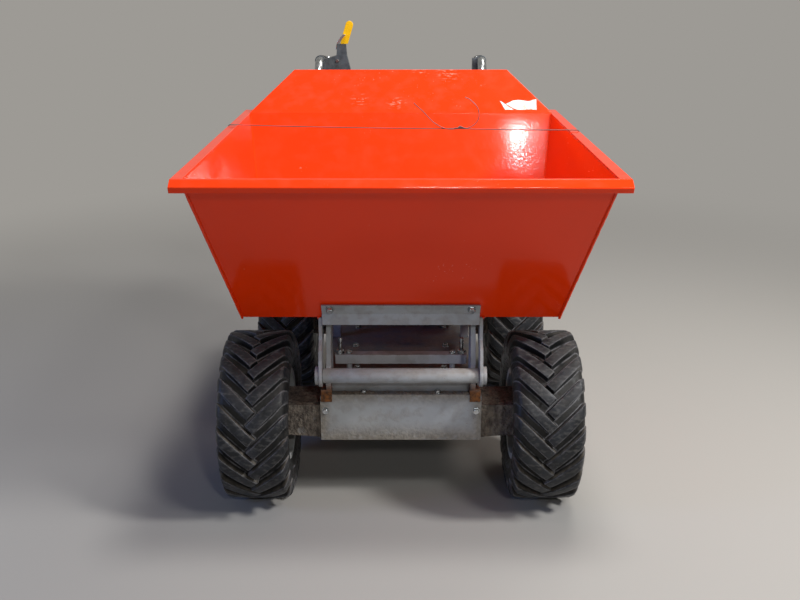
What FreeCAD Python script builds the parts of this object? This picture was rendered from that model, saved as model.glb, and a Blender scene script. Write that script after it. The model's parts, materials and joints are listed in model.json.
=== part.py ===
import FreeCAD, Part
import os
from math import cos, hypot, pi, radians, sin, tan

V = FreeCAD.Vector
X_AXIS = V(1, 0, 0)
Y_AXIS = V(0, 1, 0)
Z_AXIS = V(0, 0, 1)

# Millimetres. The front is towards -Y, +X is the right-hand side seen from the front, and the
# floor under the tyres is z = 0. A RISE is a height over the wheels' axis.

# Tyres: a faceted carcass with two rows of slanting lugs
TYRE_RADIUS = 205.0
TYRE_WIDTH = 165.0
CARCASS_RADIUS = 190.0
CARCASS_FACETS = 20
CROWN_HALF_WIDTH = 64.0
WALL_RADIUS = 155.0
TYRE_BEAD_HALF_WIDTH = 64.0
LUGS_PER_ROW = 20
LUG_WIDTH = 29.0
LUG_ANGLE = 40.0
LUG_GAP = 5.0
LUG_TOP_HALF_WIDTH = 71.0
LUG_END_HALF_WIDTH = 80.3
LUG_END_RADIUS = 148.0

# Wheels
WHEEL_X = 342.0
FRONT_AXLE_Y = -450.0
REAR_AXLE_Y = 230.0
BEAD_RADIUS = 102.0
BEAD_HALF_WIDTH = 68.0
RIM_THICKNESS = 4.0
RIM_FLANGE_RADIUS = 112.0
WELL_RADIUS = 88.0
WELL_HALF_WIDTH = 30.0
SEAT_HALF_WIDTH = 46.0
RIM_DISC_OFFSET = 18.0
RIM_DISH = 9.0
RIM_DISH_RADIUS = 68.0
HUB_RADIUS = 52.0
HUB_PLATE = 12.0
HUB_CAP_RADIUS = 30.0
SHAFT_RADIUS = 17.5
SHAFT_ENGAGEMENT = 40.0
RUNNING_FIT = 0.05
FREE_GAP = 6.0
BORE_END_GAP = 1.0

# Axle cases
CASE_HALF_WIDTH = 281.0
CASE_BOTTOM_RISE = -40.0
CASE_BOTTOM_Z = TYRE_RADIUS + CASE_BOTTOM_RISE
CASE_TOP_RISE = 45.0
CASE_TOP_Z = TYRE_RADIUS + CASE_TOP_RISE
CASE_FRONT = 50.0
CASE_REAR = 60.0
CASE_TAPER = 7.0
CARRIER_RADIUS = 45.0
CARRIER_END_X = 292.0

# Chassis box
SHEET = 5.0
CHASSIS_HALF_WIDTH = 193.0
CHASSIS_BOTTOM_RISE = -40.0
CHASSIS_BOTTOM_Z = TYRE_RADIUS + CHASSIS_BOTTOM_RISE
DECK_TOP_RISE = 77.0
DECK_TOP_Z = TYRE_RADIUS + DECK_TOP_RISE
DECK_SHEET = 6.0
COVER_FRONT_Y = -510.0
COVER_SHEET = 6.0
COVER_BOTTOM_RISE = -43.0
COVER_BOTTOM_Z = TYRE_RADIUS + COVER_BOTTOM_RISE
COVER_SLOT_WIDTH = 27.0
COVER_SLOT_DEPTH = 16.0
CHASSIS_REAR_Y = 340.0
LIP_Y = -488.0
LIP_HEIGHT = 24.0
CUT_OVERRUN = 1.0

# Tipping pivot
PIVOT_Y = -520.0
PIVOT_RISE = 131.0
PIVOT_Z = TYRE_RADIUS + PIVOT_RISE
PIVOT_TUBE_RADIUS = 17.5
PIVOT_TUBE_HALF = 183.5
PIVOT_PIN_RADIUS = 10.0
ARM_INNER_X = 184.0
ARM_SHEET = 8.0
ARM_EYE_RADIUS = 26.0
ARM_TOP_FRONT_Y = -496.0
ARM_STEP_RISE = 215.0
ARM_STEP_Z = TYRE_RADIUS + ARM_STEP_RISE
ARM_STEP = 18.0
ARM_WAIST_RISE = 187.0
ARM_WAIST_Z = TYRE_RADIUS + ARM_WAIST_RISE
ARM_HEEL_Y = -400.0
RUNNER_DEPTH = 32.0
RUNNER_REAR_Y = -155.0
RUNNER_TAPER = 14.0
PIN_DISC_RADIUS = 21.5
PIN_DISC_SHEET = 9.0
UPRIGHT_INNER_X = 165.0
UPRIGHT_SHEET = 12.0
UPRIGHT_DEPTH = 74.0
UPRIGHT_SHOULDER = 2.0
UPRIGHT_CHIN = 8.0
UPRIGHT_CHEEK = 3.0
PAD_LENGTH = 38.0
PAD_SHEET = 6.0

# Stop bar behind the pivot tube
BAR_Y = -390.0
BAR_SIZE = 24.0
BAR_BOTTOM_RISE = 111.0
BAR_BOTTOM_Z = TYRE_RADIUS + BAR_BOTTOM_RISE
BAR_HALF = 162.0
STOP_SCREW_X = 150.0
STOP_SCREW_RADIUS = 5.0
STOP_SCREW_TOP_RISE = 175.0
STOP_SCREW_TOP_Z = TYRE_RADIUS + STOP_SCREW_TOP_RISE
BAR_LEG_X = 128.0
BAR_LEG_RADIUS = 7.0

# Skip
SKIP_SHEET = 4.0
RIM_FRONT_Y = -755.0
RIM_FLANGE = 20.0
RIM_DIP = 13.0
RIM_RETURN = 5.5
RIM_THROAT = 3.0
RIM_BEND = 3.0
RIM_TAIL = 70.0
RIM_LIP = 22.0
RIM_HALF_WIDTH = 454.5
RIM_TOP_RISE = 645.0
RIM_TOP_Z = TYRE_RADIUS + RIM_TOP_RISE
SKIP_REAR_TOP_Y = 174.0
SKIP_BOTTOM_RISE = 267.0
SKIP_BOTTOM_Z = TYRE_RADIUS + SKIP_BOTTOM_RISE
SKIP_BOTTOM_FRONT_Y = -490.0
SKIP_BOTTOM_REAR_Y = -110.0
SKIP_BOTTOM_HALF = 370.0
GUARD_TOP_Y = 324.0
GUARD_HEIGHT = 107.0
GUARD_TOP_Z = RIM_TOP_Z + GUARD_HEIGHT
GUARD_INSET = 1.0
GUARD_BOTTOM_HALF = RIM_HALF_WIDTH - RIM_FLANGE - GUARD_INSET
GUARD_TOP_HALF = 316.0

# Angle bracket bolted under the front of the skip
BRACKET_SHEET = 6.0
BRACKET_HALF = 183.0
BRACKET_TOP_RISE = 307.0
BRACKET_TOP_Z = TYRE_RADIUS + BRACKET_TOP_RISE
BRACKET_BEND_RISE = 281.0
BRACKET_BEND_Z = TYRE_RADIUS + BRACKET_BEND_RISE
BRACKET_LOW_RISE = 253.0
BRACKET_LOW_Z = TYRE_RADIUS + BRACKET_LOW_RISE
BRACKET_RETURN = 28.0

# Rear rest of the skip
REST_X = 175.0
REST_SIZE = 20.0
REST_Y = -125.0

# Engine, on a plate over the rear axle
MOUNT_PLATE_HALF = 150.0
MOUNT_PLATE_FRONT_Y = 20.0
MOUNT_PLATE_REAR_Y = 320.0
MOUNT_PLATE_SHEET = 8.0
CRANK_Y = 175.0
CRANK_RISE = 190.0
CRANK_Z = TYRE_RADIUS + CRANK_RISE
CRANKCASE_LEFT_X = -70.0
CRANKCASE_RIGHT_X = 66.0
CRANKCASE_HALF_Y = 88.0
CRANKCASE_TOP_RISE = 250.0
CRANKCASE_TOP_Z = TYRE_RADIUS + CRANKCASE_TOP_RISE
CRANKCASE_BEVEL = 32.0
FOOT_FLANGE = 12.0
FOOT_FLANGE_SHEET = 10.0
SIDE_COVER_RADIUS = 74.0
SIDE_COVER_DEPTH = 12.0
COVER_RIBS = 6
COVER_RIB_SHEET = 5.0
COVER_RIB_DEPTH = 8.0
PLUG_RADIUS = 13.0
PLUG_LENGTH = 26.0
PLUG_LEAN = 45.0
CRANKSHAFT_RADIUS = 12.5

# Leaning cylinder, sizes along and across its own axis
CYLINDER_LEAN = 25.0
CYLINDER_HALF = 58.0
CYLINDER_TOP = 225.0
CYLINDER_CORE_HALF = 43.0
CYLINDER_FOOT = 30.0
FIN_COUNT = 9
FIN_START = 70.0
FIN_PITCH = 9.5
FIN_SHEET = 3.5
HEAD_START = 157.0
HEAD_HEIGHT = 50.0
HEAD_GROOVES = 3
HEAD_GROOVE_PITCH = 14.0
HEAD_GROOVE_WIDTH = 6.0
HEAD_GROOVE_DEPTH = 14.0
ROCKER_COVER_HALF = 40.0
ROCKER_COVER_BEVEL = 6.0

# Cooling fan's cover and recoil starter on the left
SHROUD_RADIUS = 104.0
SHROUD_RISE = 12.0
SHROUD_DEPTH = 66.0
SHROUD_STEP = 8.0
DUCT_HALF = 64.0
DUCT_TOP = 112.0
STARTER_RADIUS = 84.0
STARTER_DEPTH = 34.0
STARTER_RIM = 14.0
STARTER_FACE_RADIUS = 40.0
STARTER_SLOTS = 14
SLOT_WIDTH = 8.0
SLOT_INNER_RADIUS = 34.0
SLOT_OUTER_RADIUS = 70.0
SLOT_DEPTH = 22.0
PULL_GUIDE = 22.0
PULL_RADIUS = 8.0
PULL_LENGTH = 74.0

# Fuel tank
TANK_HALF_X = 118.0
TANK_FRONT_Y = 195.0
TANK_REAR_Y = 330.0
TANK_BOTTOM_RISE = 307.0
TANK_BOTTOM_Z = TYRE_RADIUS + TANK_BOTTOM_RISE
TANK_HEIGHT = 92.0
TANK_CORNER = 30.0
TANK_EDGE = 14.0
TANK_SEAM = 5.0
TANK_SEAM_SHEET = 4.0
TANK_CAP_RADIUS = 32.0
TANK_CAP_HEIGHT = 18.0
CAP_NOTCHES = 12
CAP_NOTCH_RADIUS = 4.0
TANK_FOOT = 20.0
TANK_FOOT_DEPTH = 8.0
TANK_FOOT_INSET = 34.0

# Intake on the right of the cylinder head, silencer on the left
PORT_Y = 95.0
PORT_RISE = 355.0
PORT_Z = TYRE_RADIUS + PORT_RISE
INTAKE_REACH = 22.0
INTAKE_HALF = 24.0
FILTER_WIDTH = 84.0
FILTER_HALF = 56.0
FILTER_LID = 6.0
FILTER_LID_WIDTH = 22.0
KNOB_RADIUS = 14.0
KNOB_LENGTH = 12.0
MUFFLER_RADIUS = 42.0
MUFFLER_LENGTH = 124.0
EXHAUST_RADIUS = 14.0
EXHAUST_REACH = 8.0
HEAT_SHIELD_GAP = 6.0
HEAT_SHIELD_SHEET = 2.0
HEAT_SHIELD_INSET = 7.0
HEAT_SHIELD_SLOTS = 6
HEAT_SHIELD_SLOT = 8.0
TAILPIPE_RADIUS = 12.0
TAILPIPE_LENGTH = 20.0

# Belt drive and gearbox
BELT_GUARD_X = 100.0
BELT_GUARD_WIDTH = 44.0
BELT_GUARD_CRANK_RADIUS = 78.0
BELT_GUARD_BOX_RADIUS = 52.0
BELT_GUARD_EDGE = 8.0
BELT_GUARD_SLOTS = 10
BELT_GUARD_SLOT_INNER = 30.0
BELT_GUARD_SLOT_OUTER = 60.0
BELT_GUARD_SLOT_DEPTH = 3.0
GEARBOX_FRONT_Y = -50.0
GEARBOX_LENGTH = 66.0
GEARBOX_LEFT_X = -45.0
GEARBOX_RIGHT_X = 78.0
GEARBOX_HEIGHT = 104.0
GEARBOX_CORNER = 12.0
GEARBOX_FLANGE = 9.0
GEARBOX_FLANGE_SHEET = 9.0
GEARBOX_BOSS_RADIUS = 26.0
GEARBOX_BOSS_LENGTH = 12.0
GEARBOX_RIBS = 3
GEARBOX_RIB_SHEET = 6.0
GEARBOX_RIB_DEPTH = 7.0
GEARBOX_SHAFT_RADIUS = 14.0

# Handlebars
BAR_TUBE_RADIUS = 14.0
GRIP_RADIUS = 18.0
GRIP_LENGTH = 119.0
GRIP_END_Y = 753.0
BAR_FOOT_Y = 320.0
BAR_FOOT_RISE = -20.0
BAR_FOOT_Z = TYRE_RADIUS + BAR_FOOT_RISE
BAR_SHOULDER_RISE = 85.0
BAR_SHOULDER_Z = TYRE_RADIUS + BAR_SHOULDER_RISE
BAR_KNEE_Y = 478.0
BAR_KNEE_RISE = 265.0
BAR_KNEE_Z = TYRE_RADIUS + BAR_KNEE_RISE
BAR_KNEE_X = 262.0
BAR_TOP_Y = 540.0
BAR_TOP_RISE = 759.0
BAR_TOP_Z = TYRE_RADIUS + BAR_TOP_RISE
BAR_FALL = 20.0
BAR_TOP_X = 262.0
BEND_RADIUS = 70.0
LEVER_FOOT_RISE = 46.0
LEVER_FOOT_Z = BAR_TOP_Z + LEVER_FOOT_RISE
LEVER_LENGTH = 72.0
LEVER_TOP_Z = LEVER_FOOT_Z + LEVER_LENGTH
LEVER_FOOT_X = 184.0
LEVER_TOP_X = 166.0
LEVER_WIDTH = 25.0
LEVER_SHEET = 6.0
CLAMP_Y = 603.0
CLAMP_LENGTH = 26.0
CLAMP_SHEET = 3.0
SADDLE_RISES = (-13.0, 31.0)
SADDLE_ROWS = tuple(TYRE_RADIUS + rise for rise in SADDLE_RISES)
SADDLE_HEIGHT = 22.0
SADDLE_SHEET = 5.0
HAND_LEVER_DROP = 34.0
HAND_LEVER_REACH = 118.0
HAND_LEVER_WIDTH = 14.0
HAND_LEVER_SHEET = 4.0
LOCK_LEVER_LEAN = 26.0
LOCK_LEVER_RISE = 31.0
LOCK_LEVER_ROOT = 27.0
LOCK_LEVER_SHEET = 8.0
LOCK_LEVER_WIDTH = 10.0
HOUSING_DROP = 34.0
HOUSING_SHOULDER = 17.0
HOUSING_WIDTH = 50.0
HOUSING_NECK = 28.0
SMALL_HOUSING_WIDTH = 28.0
SMALL_HOUSING_SHOULDER = 9.0
BRACE_RISE = 515.0
BRACE_Z = TYRE_RADIUS + BRACE_RISE
BRACE_RADIUS = 10.0

# Lashing eyes on the rear plate
EYE_X = 120.0
EYE_SHEET = 10.0
EYE_HOLE_RADIUS = 11.0
EYE_RADIUS = 26.0
EYE_RISE = 5.0
EYE_Z = TYRE_RADIUS + EYE_RISE
EYE_REACH = 34.0

SIDES = (("left", -1), ("right", 1))
AXLES = (("front", FRONT_AXLE_Y), ("rear", REAR_AXLE_Y))


def box(x0, x1, y0, y1, z0, z1):
    """Box between two corners, given in any order."""
    low = V(min(x0, x1), min(y0, y1), min(z0, z1))
    return Part.makeBox(abs(x1 - x0), abs(y1 - y0), abs(z1 - z0), low)


def prism(points, direction):
    """Straight prism of a flat outline."""
    wire = Part.makePolygon([*points, points[0]])
    return Part.Face(wire).extrude(direction)


def prism_x(outline, x0, x1):
    """Outline of (y, z) points, drawn out from x0 to x1."""
    return prism([V(min(x0, x1), y, z) for y, z in outline], X_AXIS * abs(x1 - x0))


def prism_y(outline, y0, y1):
    """Outline of (x, z) points, drawn out from y0 to y1."""
    return prism([V(x, min(y0, y1), z) for x, z in outline], Y_AXIS * abs(y1 - y0))


def rod_x(y, z, radius, x0, x1):
    """Cylinder along X."""
    return Part.makeCylinder(radius, abs(x1 - x0), V(min(x0, x1), y, z), X_AXIS)


def rod_z(x, y, radius, z0, z1):
    """Cylinder along Z."""
    return Part.makeCylinder(radius, z1 - z0, V(x, y, z0), Z_AXIS)


def mirror_x(shape):
    """The same piece on the other side of the machine."""
    return shape.mirror(V(0, 0, 0), X_AXIS)


def both_sides(shape):
    """A piece and its mirror image, as two solids."""
    return Part.makeCompound([shape, mirror_x(shape)])


def revolve_x(profile, y, z):
    """Ring turned about an axis along X from (x, radius) points."""
    points = [V(x, y, z + radius) for x, radius in profile]
    wire = Part.makePolygon([*points, points[0]])
    return Part.Face(wire).revolve(V(0, y, z), X_AXIS, 360)


def bent_path(points, radius):
    """Straight runs joined by tangent arcs of one radius."""
    edges = []
    start = points[0]
    for before, corner, after in zip(points, points[1:], points[2:]):
        back = (before - corner).normalize()
        ahead = (after - corner).normalize()
        half = back.getAngle(ahead) / 2
        trim = radius / tan(half)
        enter = corner + back * trim
        leave = corner + ahead * trim
        bisector = (back + ahead).normalize()
        middle = corner + bisector * (radius / sin(half) - radius)
        edges.append(Part.LineSegment(start, enter).toShape())
        edges.append(Part.Arc(enter, middle, leave).toShape())
        start = leave
    edges.append(Part.LineSegment(start, points[-1]).toShape())
    return Part.Wire(edges)


def bent_rod(points, bend, radius):
    """Round bar along a bent path."""
    path = bent_path(points, bend)
    direction = (points[1] - points[0]).normalize()
    ring = Part.Wire([Part.Circle(points[0], direction, radius).toShape()])
    return path.makePipeShell([ring], True, False)


# Wheels: tyre, rim and hub, carried by a stub shaft in the axle case


def faceted_ring(profile, facets):
    """Ring about X with flat facets, from (x, radius) points."""
    faces = []
    step = 2 * pi / facets
    for turn in range(facets):
        edges = (turn * step, turn * step + step)
        for (x0, r0), (x1, r1) in zip(profile, [*profile[1:], profile[0]]):
            near, far = [[V(x, radius * sin(angle), radius * cos(angle))
                          for x, radius in ((x0, r0), (x1, r1))] for angle in edges]
            faces.append(Part.Face(Part.makePolygon([near[0], near[1], far[1], far[0], near[0]])))
    return Part.makeSolid(Part.makeShell(faces))


def carcass():
    """Tyre without its lugs; the flats of its bore touch the rim."""
    bead = BEAD_RADIUS / cos(pi / CARCASS_FACETS)
    half = [(TYRE_BEAD_HALF_WIDTH, bead), (TYRE_WIDTH / 2, WALL_RADIUS),
            (CROWN_HALF_WIDTH, CARCASS_RADIUS)]
    other = [(-x, radius) for x, radius in reversed(half)]
    return faceted_ring([*half, *other], CARCASS_FACETS)


def lug():
    """One slanting lug at the front of the tyre, from the middle down over the right shoulder.

    Its inner end runs parallel to the lug of the other row that it stops short of.
    """
    half = TYRE_WIDTH / 2
    rise = tan(radians(LUG_ANGLE))
    thick = LUG_WIDTH / cos(radians(LUG_ANGLE)) / 2
    gap = LUG_GAP / cos(radians(LUG_ANGLE))
    stagger = pi * TYRE_RADIUS / LUGS_PER_ROW
    low_x = (2 * thick + gap - stagger) / (2 * rise)
    high_x = (gap - stagger) / (2 * rise)
    low = low_x * rise - thick
    high = half * rise + thick
    end = (high - low) / 2
    middle = (high + low) / 2
    outline = [(low_x, low), (half, half * rise - thick), (half, high),
               (high_x, high_x * rise + thick)]
    bar = prism_y([(x, z - middle) for x, z in outline], -TYRE_RADIUS, -LUG_END_RADIUS)
    edge = (TYRE_RADIUS ** 2 - end ** 2) ** 0.5
    roof = prism_x([(-TYRE_RADIUS, 0), (-edge, end), (-LUG_END_RADIUS, end),
                    (-LUG_END_RADIUS, -end), (-edge, -end)], high_x, half)
    side = [(high_x, -TYRE_RADIUS), (LUG_TOP_HALF_WIDTH, -TYRE_RADIUS),
            (LUG_END_HALF_WIDTH, -LUG_END_RADIUS), (high_x, -LUG_END_RADIUS)]
    shoulder = prism([V(x, y, -end) for x, y in side], Z_AXIS * 2 * end)
    return bar.common(roof).common(shoulder)


def lugged_tyre():
    """Tyre about the X axis, its lugs' points leading at the ground when it rolls forwards."""
    pitch = 360 / LUGS_PER_ROW
    right = lug()
    left = mirror_x(right)
    lugs = []
    for row, start in ((right, 0), (left, pitch / 2)):
        for place in range(LUGS_PER_ROW):
            copy = row.copy()
            copy.rotate(V(0, 0, 0), X_AXIS, start + place * pitch)
            lugs.append(copy)
    return carcass().multiFuse(lugs)


TYRE = lugged_tyre()


def tyre(y, side):
    """The lugged tyre at one corner of the machine."""
    shape = TYRE if side > 0 else mirror_x(TYRE)
    return shape.translated(V(side * WHEEL_X, y, TYRE_RADIUS))


def rim(y, side):
    """Pressed rim: flanges, bead seats and well, with a dished disc bolted to the hub."""
    sheet = RIM_THICKNESS
    edge = BEAD_HALF_WIDTH + sheet
    seat = BEAD_RADIUS
    face = RIM_DISC_OFFSET
    foot = face - RIM_DISH
    profile = [
        (-edge, RIM_FLANGE_RADIUS), (-BEAD_HALF_WIDTH, RIM_FLANGE_RADIUS),
        (-BEAD_HALF_WIDTH, seat), (-SEAT_HALF_WIDTH, seat), (-WELL_HALF_WIDTH, WELL_RADIUS),
        (WELL_HALF_WIDTH, WELL_RADIUS), (SEAT_HALF_WIDTH, seat), (BEAD_HALF_WIDTH, seat),
        (BEAD_HALF_WIDTH, RIM_FLANGE_RADIUS), (edge, RIM_FLANGE_RADIUS), (edge, seat - sheet),
        (SEAT_HALF_WIDTH + sheet / 2, seat - sheet), (WELL_HALF_WIDTH + sheet / 2, WELL_RADIUS - sheet),
        (foot + sheet, WELL_RADIUS - sheet), (foot + sheet, RIM_DISH_RADIUS + sheet),
        (face + sheet, RIM_DISH_RADIUS - RIM_DISH), (face + sheet, CARRIER_RADIUS / 2),
        (face, CARRIER_RADIUS / 2), (face, RIM_DISH_RADIUS - RIM_DISH),
        (foot, RIM_DISH_RADIUS), (foot, WELL_RADIUS - sheet),
        (-WELL_HALF_WIDTH - sheet / 2, WELL_RADIUS - sheet),
        (-SEAT_HALF_WIDTH - sheet / 2, seat - sheet), (-edge, seat - sheet),
    ]
    ring = revolve_x(profile, y, TYRE_RADIUS)
    if side < 0:
        ring = mirror_x(ring)
    ring.translate(X_AXIS * side * WHEEL_X)
    return ring


def hub(y, side):
    """Hub plate behind the rim's disc, its cap, and the shaft into the axle case."""
    disc = WHEEL_X + RIM_DISC_OFFSET
    shaft = CARRIER_RADIUS / 2
    steps = [
        (CARRIER_END_X - SHAFT_ENGAGEMENT, SHAFT_RADIUS),
        (CARRIER_END_X + FREE_GAP, SHAFT_RADIUS),
        (disc - HUB_PLATE, HUB_CAP_RADIUS),
        (disc, HUB_RADIUS),
        (disc + RIM_THICKNESS, shaft),
        (disc + RIM_THICKNESS + HUB_PLATE, HUB_CAP_RADIUS),
    ]
    axle_z = TYRE_RADIUS
    solid = rod_x(y, axle_z, steps[0][1], steps[0][0], steps[1][0])
    for (start, _), (end, radius) in zip(steps[1:], steps[2:]):
        solid = solid.fuse(rod_x(y, axle_z, radius, start, end))
    solid = solid.removeSplitter()
    return solid if side > 0 else mirror_x(solid)


# Axle cases


def axle_case(y):
    """Box housing across the chassis with a round carrier at each end."""
    half = CASE_HALF_WIDTH
    outline = [
        (-half, CASE_BOTTOM_Z + CASE_TAPER), (-CHASSIS_HALF_WIDTH, CASE_BOTTOM_Z),
        (CHASSIS_HALF_WIDTH, CASE_BOTTOM_Z), (half, CASE_BOTTOM_Z + CASE_TAPER),
        (half, CASE_TOP_Z), (-half, CASE_TOP_Z),
    ]
    case = prism_y(outline, y - CASE_FRONT, y + CASE_REAR)
    case = case.fuse(rod_x(y, TYRE_RADIUS, CARRIER_RADIUS, -CARRIER_END_X, CARRIER_END_X))
    bore = SHAFT_RADIUS + RUNNING_FIT
    depth = SHAFT_ENGAGEMENT + BORE_END_GAP
    for _, side in SIDES:
        end = side * CARRIER_END_X
        case = case.cut(rod_x(y, TYRE_RADIUS, bore, end, end - side * depth))
    return case.removeSplitter()


def case_space():
    """Space that both axle cases take, for the plates that they pass through."""
    wide = CASE_HALF_WIDTH
    boxes = []
    for _, y in AXLES:
        boxes.append(box(-wide, wide, y - CASE_FRONT, y + CASE_REAR, CASE_BOTTOM_Z, CASE_TOP_Z))
    return Part.makeCompound(boxes)


# Chassis


def chassis_side(side):
    """Side plate, cut where the axle cases pass through, with saddles for the handlebar."""
    outer = side * CHASSIS_HALF_WIDTH
    inner = outer - side * SHEET
    top = DECK_TOP_Z - DECK_SHEET
    front = COVER_FRONT_Y + COVER_SHEET
    plate = box(inner, outer, front, CHASSIS_REAR_Y, CHASSIS_BOTTOM_Z, top).cut(case_space())
    tube_x = outer + side * BAR_TUBE_RADIUS
    reach = BAR_TUBE_RADIUS + SADDLE_SHEET
    for low in SADDLE_ROWS:
        high = min(low + SADDLE_HEIGHT, top)
        saddle = box(outer, tube_x, BAR_FOOT_Y - reach, CHASSIS_REAR_Y, low, high)
        saddle = saddle.fuse(rod_z(tube_x, BAR_FOOT_Y, reach, low, high))
        saddle = saddle.cut(rod_z(tube_x, BAR_FOOT_Y, BAR_TUBE_RADIUS, low, high))
        plate = plate.fuse(saddle)
    return plate.removeSplitter()


def chassis_bottom():
    """Bottom plate between the two axle cases."""
    half = CHASSIS_HALF_WIDTH - SHEET
    front = FRONT_AXLE_Y + CASE_REAR
    rear = REAR_AXLE_Y - CASE_FRONT
    return box(-half, half, front, rear, CHASSIS_BOTTOM_Z, CHASSIS_BOTTOM_Z + SHEET)


def chassis_rear():
    """Rear plate that closes the chassis box."""
    half = CHASSIS_HALF_WIDTH
    top = DECK_TOP_Z - DECK_SHEET
    return box(-half, half, CHASSIS_REAR_Y, CHASSIS_REAR_Y + SHEET, CHASSIS_BOTTOM_Z, top)


def deck_lip():
    """Low upright plate on the front edge of the deck, under the pivot tube."""
    half = UPRIGHT_INNER_X
    return box(-half, half, LIP_Y, LIP_Y + SHEET, DECK_TOP_Z, DECK_TOP_Z + LIP_HEIGHT)


def chassis_deck():
    """Deck plate, slotted for the uprights."""
    half = CHASSIS_HALF_WIDTH
    low = DECK_TOP_Z - DECK_SHEET
    plate = box(-half, half, COVER_FRONT_Y + COVER_SHEET, CHASSIS_REAR_Y + SHEET, low, DECK_TOP_Z)
    for _, side in SIDES:
        edge = side * UPRIGHT_INNER_X
        rear = COVER_FRONT_Y + COVER_SHEET + UPRIGHT_DEPTH
        slot = box(edge, side * (half + CUT_OVERRUN), COVER_FRONT_Y, rear, low, DECK_TOP_Z)
        plate = plate.cut(slot)
    return plate


def front_cover():
    """Bolted front plate with a slot in each top corner."""
    half = CHASSIS_HALF_WIDTH
    plate = box(-half, half, COVER_FRONT_Y, COVER_FRONT_Y + COVER_SHEET, COVER_BOTTOM_Z,
                DECK_TOP_Z)
    for _, side in SIDES:
        outer = side * (half + CUT_OVERRUN)
        inner = side * (half - COVER_SLOT_WIDTH)
        low = DECK_TOP_Z - COVER_SLOT_DEPTH
        plate = plate.cut(box(inner, outer, COVER_FRONT_Y - CUT_OVERRUN, LIP_Y, low,
                              DECK_TOP_Z + CUT_OVERRUN))
    return plate


def upright(side):
    """Upright that carries the pivot tube and a rest for the front of the skip."""
    tube = PIVOT_TUBE_RADIUS
    front = COVER_FRONT_Y + COVER_SHEET
    rear = front + UPRIGHT_DEPTH
    top = SKIP_BOTTOM_Z - PAD_SHEET
    outline = [
        (rear, CASE_TOP_Z), (front, CASE_TOP_Z), (front, DECK_TOP_Z + UPRIGHT_SHOULDER),
        (PIVOT_Y, PIVOT_Z - tube - UPRIGHT_CHIN), (PIVOT_Y, PIVOT_Z),
        (PIVOT_Y + tube + UPRIGHT_CHEEK, PIVOT_Z + tube),
        (rear - PAD_LENGTH, top), (rear, top),
    ]
    inner = side * UPRIGHT_INNER_X
    outer = side * (UPRIGHT_INNER_X + UPRIGHT_SHEET)
    plate = prism_x(outline, inner, outer)
    return plate.cut(rod_x(PIVOT_Y, PIVOT_Z, tube, inner, outer))


def rest_pads():
    """Rubber pads under the floor of the skip, on the uprights and the rear posts."""
    low = SKIP_BOTTOM_Z - PAD_SHEET
    rear = COVER_FRONT_Y + COVER_SHEET + UPRIGHT_DEPTH
    front = box(UPRIGHT_INNER_X, UPRIGHT_INNER_X + UPRIGHT_SHEET, rear - PAD_LENGTH, rear,
                low, SKIP_BOTTOM_Z)
    half = REST_SIZE / 2
    rear = box(REST_X - half, REST_X + half, REST_Y - half, REST_Y + half, low, SKIP_BOTTOM_Z)
    return Part.makeCompound([front, mirror_x(front), rear, mirror_x(rear)])


def rear_posts():
    """Posts under the rear of the skip's floor."""
    half = REST_SIZE / 2
    post = box(REST_X - half, REST_X + half, REST_Y - half, REST_Y + half, DECK_TOP_Z,
               SKIP_BOTTOM_Z - PAD_SHEET)
    return both_sides(post)


def pivot_tube():
    """Tube across the front that the skip's pin turns in."""
    half = PIVOT_TUBE_HALF
    tube = rod_x(PIVOT_Y, PIVOT_Z, PIVOT_TUBE_RADIUS, -half, half)
    bore = PIVOT_PIN_RADIUS + RUNNING_FIT
    return tube.cut(rod_x(PIVOT_Y, PIVOT_Z, bore, -half, half))


def stop_bar():
    """Square bar behind the pivot tube, on two legs."""
    half = BAR_SIZE / 2
    bar = box(-BAR_HALF, BAR_HALF, BAR_Y - half, BAR_Y + half, BAR_BOTTOM_Z,
              BAR_BOTTOM_Z + BAR_SIZE)
    for _, side in SIDES:
        bar = bar.fuse(rod_z(side * BAR_LEG_X, BAR_Y, BAR_LEG_RADIUS, DECK_TOP_Z, BAR_BOTTOM_Z))
    return bar


def stop_screws():
    """Upright adjusting screws at the ends of the stop bar."""
    low = BAR_BOTTOM_Z + BAR_SIZE
    screw = rod_z(STOP_SCREW_X, BAR_Y, STOP_SCREW_RADIUS, low, STOP_SCREW_TOP_Z)
    return both_sides(screw)


def lashing_eye(side):
    """Eye plate on the rear of the chassis, drilled for a shackle."""
    start = CHASSIS_REAR_Y + SHEET
    centre = start + EYE_REACH
    x = side * EYE_X
    low = EYE_Z - EYE_SHEET / 2
    high = low + EYE_SHEET
    plate = box(x - EYE_RADIUS, x + EYE_RADIUS, start, centre, low, high)
    plate = plate.fuse(rod_z(x, centre, EYE_RADIUS, low, high))
    return plate.cut(rod_z(x, centre, EYE_HOLE_RADIUS, low, high)).removeSplitter()


# Skip


def slope(start, end):
    """Run per unit of height of a wall of the skip."""
    return (end - start) / (RIM_TOP_Z - SKIP_BOTTOM_Z)


FRONT_SLOPE = slope(SKIP_BOTTOM_FRONT_Y, RIM_FRONT_Y + RIM_FLANGE)
REAR_SLOPE = slope(SKIP_BOTTOM_REAR_Y, SKIP_REAR_TOP_Y)
SIDE_SLOPE = slope(SKIP_BOTTOM_HALF, RIM_HALF_WIDTH - RIM_FLANGE)


def front_y(z, inset=0.0):
    """Front wall's face at a height, moved inwards by inset."""
    run = FRONT_SLOPE * (z - SKIP_BOTTOM_Z)
    return SKIP_BOTTOM_FRONT_Y + run + inset * hypot(1, FRONT_SLOPE)


def rear_y(z, inset=0.0):
    """Rear wall's face at a height, moved inwards by inset."""
    run = REAR_SLOPE * (z - SKIP_BOTTOM_Z)
    return SKIP_BOTTOM_REAR_Y + run - inset * hypot(1, REAR_SLOPE)


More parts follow.
